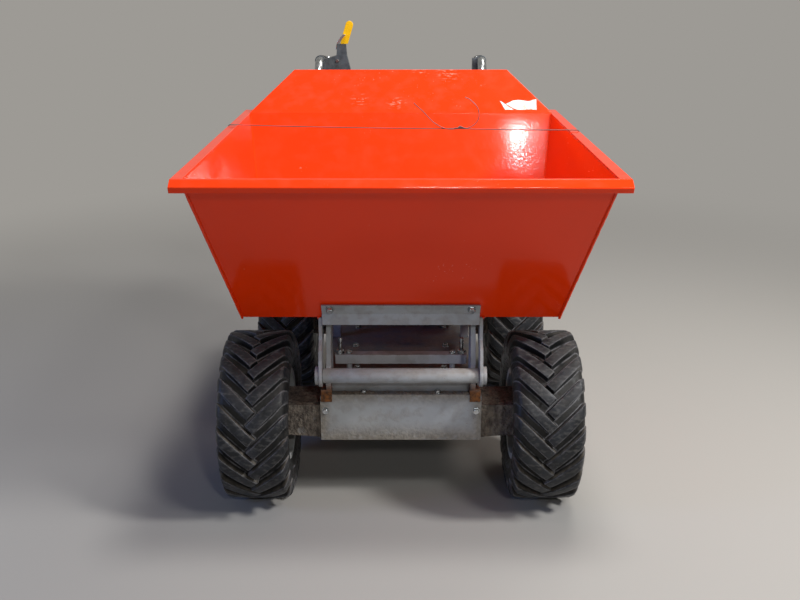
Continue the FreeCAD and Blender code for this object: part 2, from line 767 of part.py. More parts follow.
def side_x(z, inset=0.0):
    """Side wall's face at a height, moved inwards by inset."""
    run = SIDE_SLOPE * (z - SKIP_BOTTOM_Z)
    return SKIP_BOTTOM_HALF + run - inset * hypot(1, SIDE_SLOPE)


def between_sides(z0, z1):
    """Space between the inner faces of the side walls."""
    low = side_x(z0, SKIP_SHEET)
    high = side_x(z1, SKIP_SHEET)
    return prism_y([(-low, z0), (low, z0), (high, z1), (-high, z1)], RIM_FRONT_Y, GUARD_TOP_Y)


def skip_front():
    """Leaning front wall."""
    z0 = SKIP_BOTTOM_Z
    z1 = RIM_TOP_Z - SKIP_SHEET
    outline = [(front_y(z0), z0), (front_y(z1), z1), (front_y(z1, SKIP_SHEET), z1),
               (front_y(z0, SKIP_SHEET), z0)]
    wide = RIM_HALF_WIDTH
    return prism_x(outline, -wide, wide).common(between_sides(z0, z1))


def skip_back():
    """Sloping back wall, up to the foot of the guard plate."""
    z0 = SKIP_BOTTOM_Z
    z1 = RIM_TOP_Z
    outline = [(rear_y(z0), z0), (rear_y(z1), z1), (rear_y(z1, SKIP_SHEET), z1),
               (rear_y(z0, SKIP_SHEET), z0)]
    wide = RIM_HALF_WIDTH
    return prism_x(outline, -wide, wide).common(between_sides(z0, z1))


def skip_floor():
    """Flat floor between the walls."""
    z0 = SKIP_BOTTOM_Z
    z1 = SKIP_BOTTOM_Z + SKIP_SHEET
    outline = [(front_y(z0, SKIP_SHEET), z0), (rear_y(z0, SKIP_SHEET), z0),
               (rear_y(z1, SKIP_SHEET), z1), (front_y(z1, SKIP_SHEET), z1)]
    wide = RIM_HALF_WIDTH
    return prism_x(outline, -wide, wide).common(between_sides(z0, z1))


def skip_side(side):
    """Side wall, over the whole depth of the skip."""
    z0 = SKIP_BOTTOM_Z
    z1 = RIM_TOP_Z - SKIP_SHEET
    outline = [(side * side_x(z0), z0), (side * side_x(z1), z1),
               (side * side_x(z1, SKIP_SHEET), z1), (side * side_x(z0, SKIP_SHEET), z0)]
    wall = prism_y(outline, RIM_FRONT_Y, GUARD_TOP_Y)
    profile = [(front_y(z0), z0), (rear_y(z0), z0), (rear_y(z1), z1), (front_y(z1), z1)]
    return wall.common(prism_x(profile, -RIM_HALF_WIDTH, RIM_HALF_WIDTH))


def skip_rim_front():
    """Front length of the rim: its flange dips forwards, and its lip runs back along the wall."""
    z = RIM_TOP_Z
    under = z - SKIP_SHEET
    fold_y = front_y(z)
    nose_z = z - RIM_DIP
    end_z = z - RIM_LIP - RIM_THROAT
    lip_y = RIM_FRONT_Y + RIM_RETURN
    inner_y = front_y(under, SKIP_SHEET)
    outline = [
        (inner_y, z), (fold_y, z), (RIM_FRONT_Y, nose_z), (lip_y, end_z),
        (lip_y + SKIP_SHEET, end_z), (RIM_FRONT_Y + SKIP_SHEET, nose_z - SKIP_SHEET / 2),
        (fold_y, under), (inner_y, under),
    ]
    strip = prism_x(outline, -RIM_HALF_WIDTH, RIM_HALF_WIDTH)
    bends = []
    for edge in strip.Edges:
        start, end = (vertex.Point for vertex in edge.Vertexes)
        along = abs(end.x - start.x) > RIM_HALF_WIDTH
        outside = start.z > under or start.y < lip_y
        if along and outside and start.y < inner_y:
            bends.append(edge)
    return strip.makeFillet(RIM_BEND, bends)


def skip_rim_side(side):
    """Side length of the rim, which runs on a little behind the back wall."""
    under = RIM_TOP_Z - SKIP_SHEET
    start = front_y(under, SKIP_SHEET)
    rear = rear_y(RIM_TOP_Z) + RIM_TAIL
    outer = side * RIM_HALF_WIDTH
    flange = box(side * side_x(under, SKIP_SHEET), outer, start, rear, under, RIM_TOP_Z)
    lip = box(outer - side * SKIP_SHEET, outer, start, rear, RIM_TOP_Z - RIM_LIP, under)
    return flange.fuse(lip).removeSplitter()


def guard_plate():
    """Raised plate behind the skip that keeps the load off the driver."""
    foot_y = rear_y(RIM_TOP_Z, SKIP_SHEET)
    run_y = GUARD_TOP_Y - foot_y
    run_z = GUARD_TOP_Z - RIM_TOP_Z
    length = hypot(run_y, run_z)
    drop_y = SKIP_SHEET * run_z / length
    drop_z = SKIP_SHEET * run_y / length
    heel_y = foot_y + SKIP_SHEET * length / run_z
    outline = [(foot_y, RIM_TOP_Z), (GUARD_TOP_Y, GUARD_TOP_Z),
               (GUARD_TOP_Y + drop_y, GUARD_TOP_Z - drop_z), (heel_y, RIM_TOP_Z)]
    plate = prism_x(outline, -GUARD_BOTTOM_HALF, GUARD_BOTTOM_HALF)
    face = [(-GUARD_BOTTOM_HALF, RIM_TOP_Z), (GUARD_BOTTOM_HALF, RIM_TOP_Z),
            (GUARD_TOP_HALF, GUARD_TOP_Z), (-GUARD_TOP_HALF, GUARD_TOP_Z)]
    return plate.common(prism_y(face, foot_y, GUARD_TOP_Y + SKIP_SHEET))


def hinge_bracket():
    """Folded bracket bolted to the foot of the front wall, with a return under the floor."""
    sheet = BRACKET_SHEET
    lean = sheet * hypot(1, FRONT_SLOPE)
    back = front_y(BRACKET_BEND_Z)
    outline = [
        (front_y(BRACKET_TOP_Z), BRACKET_TOP_Z), (front_y(BRACKET_TOP_Z) - lean, BRACKET_TOP_Z),
        (back - lean, BRACKET_BEND_Z), (back - lean, BRACKET_LOW_Z),
        (back - lean + BRACKET_RETURN, BRACKET_LOW_Z),
        (back - lean + BRACKET_RETURN, BRACKET_LOW_Z + sheet),
        (back, BRACKET_LOW_Z + sheet), (back, BRACKET_BEND_Z),
    ]
    return prism_x(outline, -BRACKET_HALF, BRACKET_HALF)


def tip_arm(side):
    """Arm from the pivot pin up to the skip, in one plate with the runner under the floor."""
    inner = side * ARM_INNER_X
    outer = side * (ARM_INNER_X + ARM_SHEET)
    top = SKIP_BOTTOM_Z
    step_y = ARM_TOP_FRONT_Y - ARM_STEP / 2
    outline = [
        (RUNNER_REAR_Y, top), (ARM_TOP_FRONT_Y, top), (step_y, ARM_STEP_Z),
        (step_y - ARM_STEP, ARM_STEP_Z - ARM_STEP), (PIVOT_Y - ARM_EYE_RADIUS, PIVOT_Z),
        (PIVOT_Y, PIVOT_Z - ARM_EYE_RADIUS / 2), (PIVOT_Y + ARM_EYE_RADIUS, PIVOT_Z),
        (ARM_TOP_FRONT_Y + ARM_STEP / 2, ARM_WAIST_Z), (ARM_HEEL_Y, top - RUNNER_DEPTH),
        (RUNNER_REAR_Y, top - RUNNER_TAPER),
    ]
    plate = prism_x(outline, inner, outer)
    plate = plate.fuse(rod_x(PIVOT_Y, PIVOT_Z, ARM_EYE_RADIUS, inner, outer))
    return plate.cut(rod_x(PIVOT_Y, PIVOT_Z, PIVOT_PIN_RADIUS, inner, outer)).removeSplitter()


def pivot_pin():
    """Pin through the pivot tube and both arms, with a disc at each end."""
    face = ARM_INNER_X + ARM_SHEET
    pin = rod_x(PIVOT_Y, PIVOT_Z, PIVOT_PIN_RADIUS, -face, face)
    for _, side in SIDES:
        start = side * face
        end = start + side * PIN_DISC_SHEET
        pin = pin.fuse(rod_x(PIVOT_Y, PIVOT_Z, PIN_DISC_RADIUS, start, end))
    return pin.removeSplitter()


# Engine and drive


def mount_plate():
    """Plate under the engine."""
    half = MOUNT_PLATE_HALF
    return box(-half, half, MOUNT_PLATE_FRONT_Y, MOUNT_PLATE_REAR_Y, DECK_TOP_Z,
               DECK_TOP_Z + MOUNT_PLATE_SHEET)


def around_crank(shape, angle):
    """A shape turned about the crankshaft's axis."""
    return shape.rotated(V(0, CRANK_Y, CRANK_Z), X_AXIS, angle)


def crankcase():
    """Crankcase with its foot flange, ribbed side cover and oil filler."""
    low = DECK_TOP_Z + MOUNT_PLATE_SHEET
    half = CRANKCASE_HALF_Y
    bevel = CRANKCASE_BEVEL
    outline = [
        (CRANK_Y - half, low), (CRANK_Y + half, low), (CRANK_Y + half, CRANKCASE_TOP_Z - bevel),
        (CRANK_Y + half - bevel, CRANKCASE_TOP_Z), (CRANK_Y - half + bevel, CRANKCASE_TOP_Z),
        (CRANK_Y - half, CRANKCASE_TOP_Z - bevel),
    ]
    case = prism_x(outline, CRANKCASE_LEFT_X, CRANKCASE_RIGHT_X)
    wide = half + FOOT_FLANGE
    foot = box(CRANKCASE_LEFT_X, CRANKCASE_RIGHT_X, CRANK_Y - wide, CRANK_Y + wide, low,
               low + FOOT_FLANGE_SHEET)
    side = CRANKCASE_RIGHT_X + SIDE_COVER_DEPTH
    cover = rod_x(CRANK_Y, CRANK_Z, SIDE_COVER_RADIUS, CRANKCASE_RIGHT_X, side)
    shaft = rod_x(CRANK_Y, CRANK_Z, CRANKSHAFT_RADIUS, side, BELT_GUARD_X)
    plug = rod_z(CRANKCASE_RIGHT_X - 3 * PLUG_RADIUS, CRANK_Y, PLUG_RADIUS, CRANK_Z,
                 CRANK_Z + half + PLUG_LENGTH)
    plug = around_crank(plug, -PLUG_LEAN)
    ribs = []
    for place in range(COVER_RIBS):
        rib = box(side, side + COVER_RIB_DEPTH, CRANK_Y - COVER_RIB_SHEET / 2,
                  CRANK_Y + COVER_RIB_SHEET / 2, CRANK_Z, CRANK_Z + SIDE_COVER_RADIUS - PLUG_RADIUS / 2)
        ribs.append(around_crank(rib, 360 / COVER_RIBS * place))
    return case.multiFuse([foot, cover, shaft, plug, *ribs]).removeSplitter()


def upright_cylinder():
    """Finned cylinder, head and rocker cover about the Z axis, before it leans."""
    half = CYLINDER_HALF
    core = CYLINDER_CORE_HALF
    head_top = HEAD_START + HEAD_HEIGHT
    block = box(-core, core, -core, core, CYLINDER_FOOT, HEAD_START)
    fins = []
    for place in range(FIN_COUNT):
        low = FIN_START + place * FIN_PITCH
        fins.append(box(-half, half, -half, half, low, low + FIN_SHEET))
    head = box(-half, half, -half, half, HEAD_START, head_top)
    for place in range(HEAD_GROOVES):
        middle = HEAD_START + HEAD_HEIGHT / 2 + (place - 1) * HEAD_GROOVE_PITCH
        low = middle - HEAD_GROOVE_WIDTH / 2
        for side in (-1, 1):
            groove = box(-half, half, side * (half - HEAD_GROOVE_DEPTH), side * half, low,
                         low + HEAD_GROOVE_WIDTH)
            head = head.cut(groove)
    wide = ROCKER_COVER_HALF
    cover = box(-wide, wide, -wide, wide, head_top, CYLINDER_TOP)
    cover = cover.makeChamfer(ROCKER_COVER_BEVEL, edges_at(cover, CYLINDER_TOP))
    return block.multiFuse([*fins, head, cover])


def edges_at(shape, z):
    """Edges of a shape that lie in one level plane."""
    return [edge for edge in shape.Edges
            if abs(edge.BoundBox.ZMin - z) < RUNNING_FIT and edge.BoundBox.ZLength < RUNNING_FIT]


def upright_edges(shape):
    """Edges of a shape that run straight up."""
    return [edge for edge in shape.Edges
            if edge.BoundBox.XLength < RUNNING_FIT and edge.BoundBox.YLength < RUNNING_FIT]


def edges_in_x(shape, x):
    """Edges of a shape that lie in one plane across X."""
    return [edge for edge in shape.Edges
            if abs(edge.BoundBox.XMin - x) < RUNNING_FIT and edge.BoundBox.XLength < RUNNING_FIT]


def engine_cylinder():
    """Cylinder and head, leaning to the front."""
    block = upright_cylinder().rotated(V(0, 0, 0), X_AXIS, CYLINDER_LEAN)
    return block.translated(V(0, CRANK_Y, CRANK_Z)).cut(crankcase())


def fan_shroud():
    """Cover of the cooling fan, with its duct up to the cylinder's fins."""
    z = CRANK_Z + SHROUD_RISE
    end = CRANKCASE_LEFT_X - SHROUD_DEPTH
    step = end + SHROUD_STEP
    duct = box(CRANKCASE_LEFT_X, step, CRANK_Y - DUCT_HALF, CRANK_Y + DUCT_HALF, CRANK_Z,
               CRANK_Z + DUCT_TOP)
    cover = rod_x(CRANK_Y, z, SHROUD_RADIUS, CRANKCASE_LEFT_X, step)
    face = rod_x(CRANK_Y, z, SHROUD_RADIUS - SHROUD_STEP, step, end)
    return cover.multiFuse([around_crank(duct, CYLINDER_LEAN), face]).removeSplitter()


def recoil_starter():
    """Domed recoil starter with its ring of slots and the handle of its cord."""
    z = CRANK_Z + SHROUD_RISE
    start = CRANKCASE_LEFT_X - SHROUD_DEPTH
    end = start - STARTER_DEPTH
    profile = [(start, 0), (start, STARTER_RADIUS), (start - STARTER_RIM, STARTER_RADIUS),
               (end, STARTER_FACE_RADIUS), (end, 0)]
    dome = revolve_x(profile, CRANK_Y, z)
    slots = []
    for place in range(STARTER_SLOTS):
        slot = box(end, end + SLOT_DEPTH, CRANK_Y - SLOT_WIDTH / 2, CRANK_Y + SLOT_WIDTH / 2,
                   z + SLOT_INNER_RADIUS, z + SLOT_OUTER_RADIUS)
        slots.append(slot.rotated(V(0, CRANK_Y, z), X_AXIS, 360 / STARTER_SLOTS * place))
    dome = dome.cut(Part.makeCompound(slots))
    guide_y = CRANK_Y - STARTER_RADIUS
    guide = box(start, start - STARTER_RIM, guide_y - PULL_GUIDE / 2, guide_y + PULL_GUIDE,
                z, z + PULL_GUIDE)
    middle = start - STARTER_RIM / 2
    pull = rod_z(middle, guide_y - PULL_GUIDE / 2 - PULL_RADIUS, PULL_RADIUS, z - PULL_LENGTH / 2,
                 z + PULL_LENGTH / 2)
    neck = box(middle - PULL_RADIUS / 2, middle + PULL_RADIUS / 2,
               guide_y - PULL_GUIDE / 2 - PULL_RADIUS, guide_y, z, z + PULL_RADIUS)
    return dome.multiFuse([guide, pull, neck]).removeSplitter()


def rounded_block(shape, corner, edge):
    """A block with its upright corners rounded, then its top and bottom edges."""
    shape = shape.makeFillet(corner, upright_edges(shape))
    bounds = shape.BoundBox
    return shape.makeFillet(edge, edges_at(shape, bounds.ZMin) + edges_at(shape, bounds.ZMax))


def fuel_tank():
    """Pressed fuel tank with a welded seam round its middle."""
    half = TANK_HALF_X - TANK_SEAM
    front = TANK_FRONT_Y + TANK_SEAM
    rear = TANK_REAR_Y - TANK_SEAM
    top = TANK_BOTTOM_Z + TANK_HEIGHT
    tank = rounded_block(box(-half, half, front, rear, TANK_BOTTOM_Z, top), TANK_CORNER, TANK_EDGE)
    low = TANK_BOTTOM_Z + TANK_HEIGHT / 2
    seam = box(-TANK_HALF_X, TANK_HALF_X, TANK_FRONT_Y, TANK_REAR_Y, low, low + TANK_SEAM_SHEET)
    seam = seam.makeFillet(TANK_CORNER + TANK_SEAM, upright_edges(seam))
    return tank.fuse(seam)


def tank_feet():
    """Two struts that hold the tank up on the crankcase."""
    rear = CRANK_Y + CRANKCASE_HALF_Y - TANK_FOOT_INSET
    struts = []
    for x in (CRANKCASE_LEFT_X, CRANKCASE_RIGHT_X - TANK_FOOT):
        struts.append(box(x, x + TANK_FOOT, rear - TANK_FOOT_DEPTH, rear, CRANKCASE_TOP_Z,
                          TANK_BOTTOM_Z))
    return Part.makeCompound(struts)


def tank_cap():
    """Filler cap of the fuel tank, notched for the hand."""
    low = TANK_BOTTOM_Z + TANK_HEIGHT
    x = -TANK_HALF_X / 2
    y = (TANK_FRONT_Y + TANK_REAR_Y) / 2
    cap = rod_z(x, y, TANK_CAP_RADIUS, low, low + TANK_CAP_HEIGHT)
    notches = []
    for place in range(CAP_NOTCHES):
        notch = rod_z(x + TANK_CAP_RADIUS, y, CAP_NOTCH_RADIUS, low + CAP_NOTCH_RADIUS,
                      low + TANK_CAP_HEIGHT)
        notches.append(notch.rotated(V(x, y, 0), Z_AXIS, 360 / CAP_NOTCHES * place))
    return cap.cut(Part.makeCompound(notches))


def engine_intake():
    """Carburettor, and the air filter with its lid and knob, right of the cylinder head."""
    start = CYLINDER_HALF
    middle = start + INTAKE_REACH
    end = middle + FILTER_WIDTH
    half = INTAKE_HALF
    body = box(start, middle, PORT_Y - half, PORT_Y + half, PORT_Z - half, PORT_Z + half)
    half = FILTER_HALF
    small = half - FILTER_LID
    base = box(middle, end, PORT_Y - small, PORT_Y + small, PORT_Z - small, PORT_Z + small)
    lid = box(end - FILTER_LID_WIDTH, end, PORT_Y - half, PORT_Y + half, PORT_Z - half,
              PORT_Z + half)
    lid = lid.makeFillet(FILTER_LID, edges_in_x(lid, end))
    knob = rod_x(PORT_Y, PORT_Z, KNOB_RADIUS, end, end + KNOB_LENGTH)
    return body.multiFuse([base, lid, knob]).removeSplitter()


def muffler():
    """Silencer left of the cylinder head, with its tailpipe and slotted heat shield."""
    start = -CYLINDER_HALF
    x = start - EXHAUST_REACH - MUFFLER_RADIUS
    front = PORT_Y - MUFFLER_LENGTH / 2
    rear = front + MUFFLER_LENGTH
    drum = Part.makeCylinder(MUFFLER_RADIUS, MUFFLER_LENGTH, V(x, front, PORT_Z), Y_AXIS)
    inner = MUFFLER_RADIUS + HEAT_SHIELD_GAP
    outer = inner + HEAT_SHIELD_SHEET
    low = front + HEAT_SHIELD_INSET
    high = rear - HEAT_SHIELD_INSET
    shield = Part.makeCylinder(outer, high - low, V(x, low, PORT_Z), Y_AXIS)
    hollow = Part.makeCylinder(inner, high - low - 2 * HEAT_SHIELD_SHEET,
                               V(x, low + HEAT_SHIELD_SHEET, PORT_Z), Y_AXIS)
    shield = shield.cut(hollow).common(box(x - outer, x, low, high, PORT_Z - outer, PORT_Z + outer))
    pitch = (high - low) / (HEAT_SHIELD_SLOTS + 1)
    for place in range(HEAT_SHIELD_SLOTS):
        middle = low + pitch * (place + 1)
        slot = box(x - outer, x - outer / 2, middle - HEAT_SHIELD_SLOT / 2,
                   middle + HEAT_SHIELD_SLOT / 2, PORT_Z - inner / 2, PORT_Z + inner / 2)
        shield = shield.cut(slot)
    shield = shield.cut(drum)
    pipe = rod_x(PORT_Y, PORT_Z, EXHAUST_RADIUS, start, x)
    tail = Part.makeCylinder(TAILPIPE_RADIUS, TAILPIPE_LENGTH + HEAT_SHIELD_GAP,
                             V(x, front - TAILPIPE_LENGTH, PORT_Z - MUFFLER_RADIUS / 2), Y_AXIS)
    return drum.multiFuse([shield, pipe, tail]).removeSplitter()


def gearbox_centre():
    """Axis of the driven pulley, as (y, z)."""
    return (GEARBOX_FRONT_Y + GEARBOX_LENGTH / 2, DECK_TOP_Z + BELT_GUARD_BOX_RADIUS + FREE_GAP)


def belt_guard_outline(grow):
    """Tangent outline round both pulleys, grown outwards by grow, at the guard's left face."""
    y, z = gearbox_centre()
    small = BELT_GUARD_BOX_RADIUS + grow
    large = BELT_GUARD_CRANK_RADIUS + grow
    along = V(0, CRANK_Y - y, CRANK_Z - z)
    turn = (large - small) / along.Length
    lean = (1 - turn * turn) ** 0.5
    along.normalize()
    across = V(0, -along.z, along.y)
    ends = []
    for centre, radius in ((V(BELT_GUARD_X, y, z), small), (V(BELT_GUARD_X, CRANK_Y, CRANK_Z), large)):
        ends.append([centre + across * radius * lean * side - along * radius * turn
                     for side in (1, -1)])
    front = V(BELT_GUARD_X, y, z) - along * small
    rear = V(BELT_GUARD_X, CRANK_Y, CRANK_Z) + along * large
    edges = [Part.Arc(ends[0][0], front, ends[0][1]), Part.LineSegment(ends[0][1], ends[1][1]),
             Part.Arc(ends[1][1], rear, ends[1][0]), Part.LineSegment(ends[1][0], ends[0][0])]
    return Part.Face(Part.Wire([edge.toShape() for edge in edges]))


def belt_guard():
    """Pressed cover over the belt from the engine to the gearbox, with cooling slots."""
    end = BELT_GUARD_X + BELT_GUARD_WIDTH
    cover = belt_guard_outline(0).extrude(X_AXIS * BELT_GUARD_WIDTH)
    cover = cover.makeFillet(BELT_GUARD_EDGE, edges_in_x(cover, end))
    slots = []
    for place in range(BELT_GUARD_SLOTS):
        slot = box(end - BELT_GUARD_SLOT_DEPTH, end, CRANK_Y - SLOT_WIDTH / 2,
                   CRANK_Y + SLOT_WIDTH / 2, CRANK_Z + BELT_GUARD_SLOT_INNER,
                   CRANK_Z + BELT_GUARD_SLOT_OUTER)
        slots.append(around_crank(slot, 360 / BELT_GUARD_SLOTS * place))
    return cover.cut(Part.makeCompound(slots))


def gearbox():
    """Cast gearbox on the deck: foot and lid flanges, ribs, bearing boss and input shaft."""
    front = GEARBOX_FRONT_Y
    rear = front + GEARBOX_LENGTH
    top = DECK_TOP_Z + GEARBOX_HEIGHT
    inset = GEARBOX_FLANGE
    left = GEARBOX_LEFT_X
    right = GEARBOX_RIGHT_X
    case = box(left + inset, right - inset, front + inset, rear - inset, DECK_TOP_Z, top)
    case = case.makeFillet(GEARBOX_CORNER, upright_edges(case))
    foot = box(left, right, front, rear, DECK_TOP_Z, DECK_TOP_Z + GEARBOX_FLANGE_SHEET)
    foot = foot.makeFillet(GEARBOX_CORNER, upright_edges(foot))
    lid_low = top - 2 * GEARBOX_FLANGE_SHEET
    lid = foot.translated(Z_AXIS * (lid_low - DECK_TOP_Z))
    y, z = gearbox_centre()
    boss = rod_x(y, z, GEARBOX_BOSS_RADIUS, left + inset - GEARBOX_BOSS_LENGTH,
                 right - inset + GEARBOX_BOSS_LENGTH)
    shaft = rod_x(y, z, GEARBOX_SHAFT_RADIUS, right - inset, BELT_GUARD_X)
    ribs = []
    pitch = (right - left) / (GEARBOX_RIBS + 1)
    for place in range(GEARBOX_RIBS):
        x = left + pitch * (place + 1)
        ribs.append(box(x - GEARBOX_RIB_SHEET / 2, x + GEARBOX_RIB_SHEET / 2,
                        front + inset - GEARBOX_RIB_DEPTH, rear - inset + GEARBOX_RIB_DEPTH,
                        DECK_TOP_Z, lid_low))
    return case.multiFuse([foot, lid, boss, shaft, *ribs]).removeSplitter()


# Handlebars and levers


def bar_z(y):
    """Height of the straight end of a handlebar tube, which falls towards the driver."""
    return BAR_TOP_Z - BAR_FALL * (y - BAR_TOP_Y) / (GRIP_END_Y - BAR_TOP_Y)


GRIP_AXIS = V(0, GRIP_END_Y - BAR_TOP_Y, -BAR_FALL).normalize()
CLAMP_Z = bar_z(CLAMP_Y + CLAMP_LENGTH / 2)


def handlebar_points(side):
    """Corners of one handlebar tube, from its foot beside the chassis to its end."""
    foot_x = CHASSIS_HALF_WIDTH + BAR_TUBE_RADIUS
    end = GRIP_END_Y - 2 * CLAMP_SHEET
    return [
        V(side * foot_x, BAR_FOOT_Y, BAR_FOOT_Z),
        V(side * foot_x, BAR_FOOT_Y, BAR_SHOULDER_Z),
        V(side * BAR_KNEE_X, BAR_KNEE_Y, BAR_KNEE_Z),
        V(side * BAR_TOP_X, BAR_TOP_Y, BAR_TOP_Z),
        V(side * BAR_TOP_X, end, bar_z(end)),
    ]


def bar_cylinder(side, y, length, radius):
    """Cylinder about the straight end of one handlebar tube, from a place along it."""
    return Part.makeCylinder(radius, length, V(side * BAR_TOP_X, y, bar_z(y)), GRIP_AXIS)


def handlebars():
    """Two bent tubes that the driver steers by."""
    tubes = []
    for _, side in SIDES:
        tubes.append(bent_rod(handlebar_points(side), BEND_RADIUS, BAR_TUBE_RADIUS))
    return Part.makeCompound(tubes)


def handlebar_brace():
    """Cross tube between the handlebars."""
    share = (BRACE_Z - BAR_KNEE_Z) / (BAR_TOP_Z - BAR_KNEE_Z)
    y = BAR_KNEE_Y + share * (BAR_TOP_Y - BAR_KNEE_Y)
    brace = rod_x(y, BRACE_Z, BRACE_RADIUS, -BAR_TOP_X, BAR_TOP_X)
    return brace.cut(handlebars())


def grips():
    """Rubber grips on the ends of the tubes."""
    start = GRIP_END_Y - GRIP_LENGTH
    grip = bar_cylinder(1, start, GRIP_LENGTH, GRIP_RADIUS)
    bore = bar_cylinder(1, start, GRIP_LENGTH - CLAMP_SHEET, BAR_TUBE_RADIUS)
    return both_sides(grip.cut(bore))


def lever_housings():
    """Housings of the hand levers, clamped to the tubes."""
    x = BAR_TOP_X
    low = CLAMP_Z - HOUSING_DROP
    shoulder = CLAMP_Z + HOUSING_SHOULDER
    inner = LEVER_FOOT_X - LEVER_WIDTH / 4
    neck = inner + HOUSING_NECK
    end = CLAMP_Y + CLAMP_LENGTH
    left = [(-x, low), (-x + 2 * HOUSING_WIDTH, low), (-inner + CLAMP_SHEET, shoulder),
            (-inner, LEVER_FOOT_Z), (-neck, LEVER_FOOT_Z), (-neck - CLAMP_SHEET, shoulder),
            (-x, CLAMP_Z + CLAMP_SHEET)]
    small_x = x - SMALL_HOUSING_WIDTH
    small_z = CLAMP_Z + SMALL_HOUSING_SHOULDER
    right = [(x, low), (small_x, low), (small_x, small_z), (x, small_z)]
    pieces = []
    for side, outline in ((-1, left), (1, right)):
        ring = bar_cylinder(side, CLAMP_Y, CLAMP_LENGTH, BAR_TUBE_RADIUS + CLAMP_SHEET)
        bore = bar_cylinder(side, CLAMP_Y - CLAMP_LENGTH, 3 * CLAMP_LENGTH, BAR_TUBE_RADIUS)
        block = prism_y(outline, CLAMP_Y, end).fuse(ring)
        pieces.append(block.cut(bore).removeSplitter())
    return Part.makeCompound(pieces)


def tip_lever():
    """Flat yellow lever on the left housing."""
    half = LEVER_WIDTH / 2
    low = LEVER_FOOT_Z
    outline = [(-LEVER_FOOT_X - half, low), (-LEVER_FOOT_X + half, low),
               (-LEVER_TOP_X + half, LEVER_TOP_Z), (-LEVER_TOP_X - half, LEVER_TOP_Z)]
    middle = CLAMP_Y + CLAMP_LENGTH / 2
    return prism_y(outline, middle, middle + LEVER_SHEET)


def lock_lever():
    """Curved lever that leans inwards over the left housing, as a strip between two arcs."""
    root = V(-LEVER_FOOT_X - LOCK_LEVER_ROOT, 0, LEVER_FOOT_Z - LOCK_LEVER_RISE / 2)
    top = V(root.x + LOCK_LEVER_LEAN, 0, LEVER_FOOT_Z + LOCK_LEVER_RISE)
    bulge = (root + top) / 2 + V(-LOCK_LEVER_SHEET / 2, 0, LOCK_LEVER_SHEET / 2)
    shift = V(LOCK_LEVER_SHEET, 0, -LOCK_LEVER_SHEET / 4)
    edges = [Part.Arc(root, bulge, top), Part.LineSegment(top, top + shift),
             Part.Arc(top + shift, bulge + shift, root + shift),
             Part.LineSegment(root + shift, root)]
    face = Part.Face(Part.Wire([edge.toShape() for edge in edges]))
    strip = face.extrude(Y_AXIS * LOCK_LEVER_WIDTH).translated(Y_AXIS * CLAMP_Y)
    return strip.cut(lever_housings())


def hand_lever():
    """Flat lever under one grip, hung on the housing in front of it."""
    drop = HAND_LEVER_DROP
    width = HAND_LEVER_WIDTH / 2
    seat = CLAMP_Z - HOUSING_DROP
    end = CLAMP_Y + CLAMP_LENGTH
    sheet = HAND_LEVER_SHEET
    outline = [
        (CLAMP_Y, seat), (end, seat), (end + drop, seat - drop), (end + HAND_LEVER_REACH, seat - drop),
        (end + HAND_LEVER_REACH, seat - drop - sheet), (end + drop - sheet, seat - drop - sheet),
        (end - sheet, seat - sheet), (CLAMP_Y, seat - sheet),
    ]
    return prism_x(outline, BAR_TOP_X - width - width, BAR_TOP_X)


PIECES = {
    "chassis_sides": Part.makeCompound([chassis_side(-1), chassis_side(1)]),
    "chassis_bottom": chassis_bottom(),
    "chassis_rear": chassis_rear(),
    "chassis_deck": chassis_deck(),
    "deck_lip": deck_lip(),
    "front_cover": front_cover(),
    "axle_cases": Part.makeCompound([axle_case(y) for _, y in AXLES]),
    "pivot_uprights": Part.makeCompound([upright(-1), upright(1)]),
    "pivot_tube": pivot_tube(),
    "rest_pads": rest_pads(),
    "rear_posts": rear_posts(),
    "stop_bar": stop_bar(),
    "stop_screws": stop_screws(),
    "lashing_eyes": Part.makeCompound([lashing_eye(-1), lashing_eye(1)]),
    "skip_front": skip_front(),
    "skip_back": skip_back(),
    "skip_floor": skip_floor(),
    "skip_rim_front": skip_rim_front(),
    "guard_plate": guard_plate(),
    "hinge_bracket": hinge_bracket(),
    "tip_arms": Part.makeCompound([tip_arm(-1), tip_arm(1)]),
    "pivot_pin": pivot_pin(),
    "engine_mount_plate": mount_plate(),
    "engine_crankcase": crankcase(),
    "engine_cylinder": engine_cylinder(),
    "engine_intake": engine_intake(),
    "fan_shroud": fan_shroud(),
    "recoil_starter": recoil_starter(),
    "muffler": muffler(),
    "fuel_tank": fuel_tank(),
    "tank_cap": tank_cap(),
    "tank_feet": tank_feet(),
    "gearbox": gearbox(),
    "belt_guard": belt_guard(),
    "handlebars": handlebars(),
    "handlebar_brace": handlebar_brace(),
    "grips": grips(),
    "lever_housings": lever_housings(),
    "tip_lever": tip_lever(),
    "hand_levers": Part.makeCompound([hand_lever(), mirror_x(hand_lever()), lock_lever()]),
}
for side_name, side_sign in SIDES:
    PIECES["skip_side_" + side_name] = skip_side(side_sign)
    PIECES["skip_rim_" + side_name] = skip_rim_side(side_sign)
for axle_name, axle_y in AXLES:
    for side_name, side_sign in SIDES:
        corner = axle_name + "_" + side_name
        PIECES["tyre_" + corner] = tyre(axle_y, side_sign)
        PIECES["rim_" + corner] = rim(axle_y, side_sign)
        PIECES["hub_" + corner] = hub(axle_y, side_sign)

os.makedirs("parts", exist_ok=True)
for node, shape in PIECES.items():
    shape.exportStep("parts/" + node + ".step")
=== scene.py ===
"""Looks of a walk-behind site dumper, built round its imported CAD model.

Lengths are in metres unless a name says otherwise. The front is towards -Y.
"""

import json
from math import atan2, cos, pi, radians, sin, tan

import bmesh
import bpy
from bpy.props import FloatProperty, FloatVectorProperty, IntProperty, PointerProperty
from mathutils import Matrix, Vector, noise


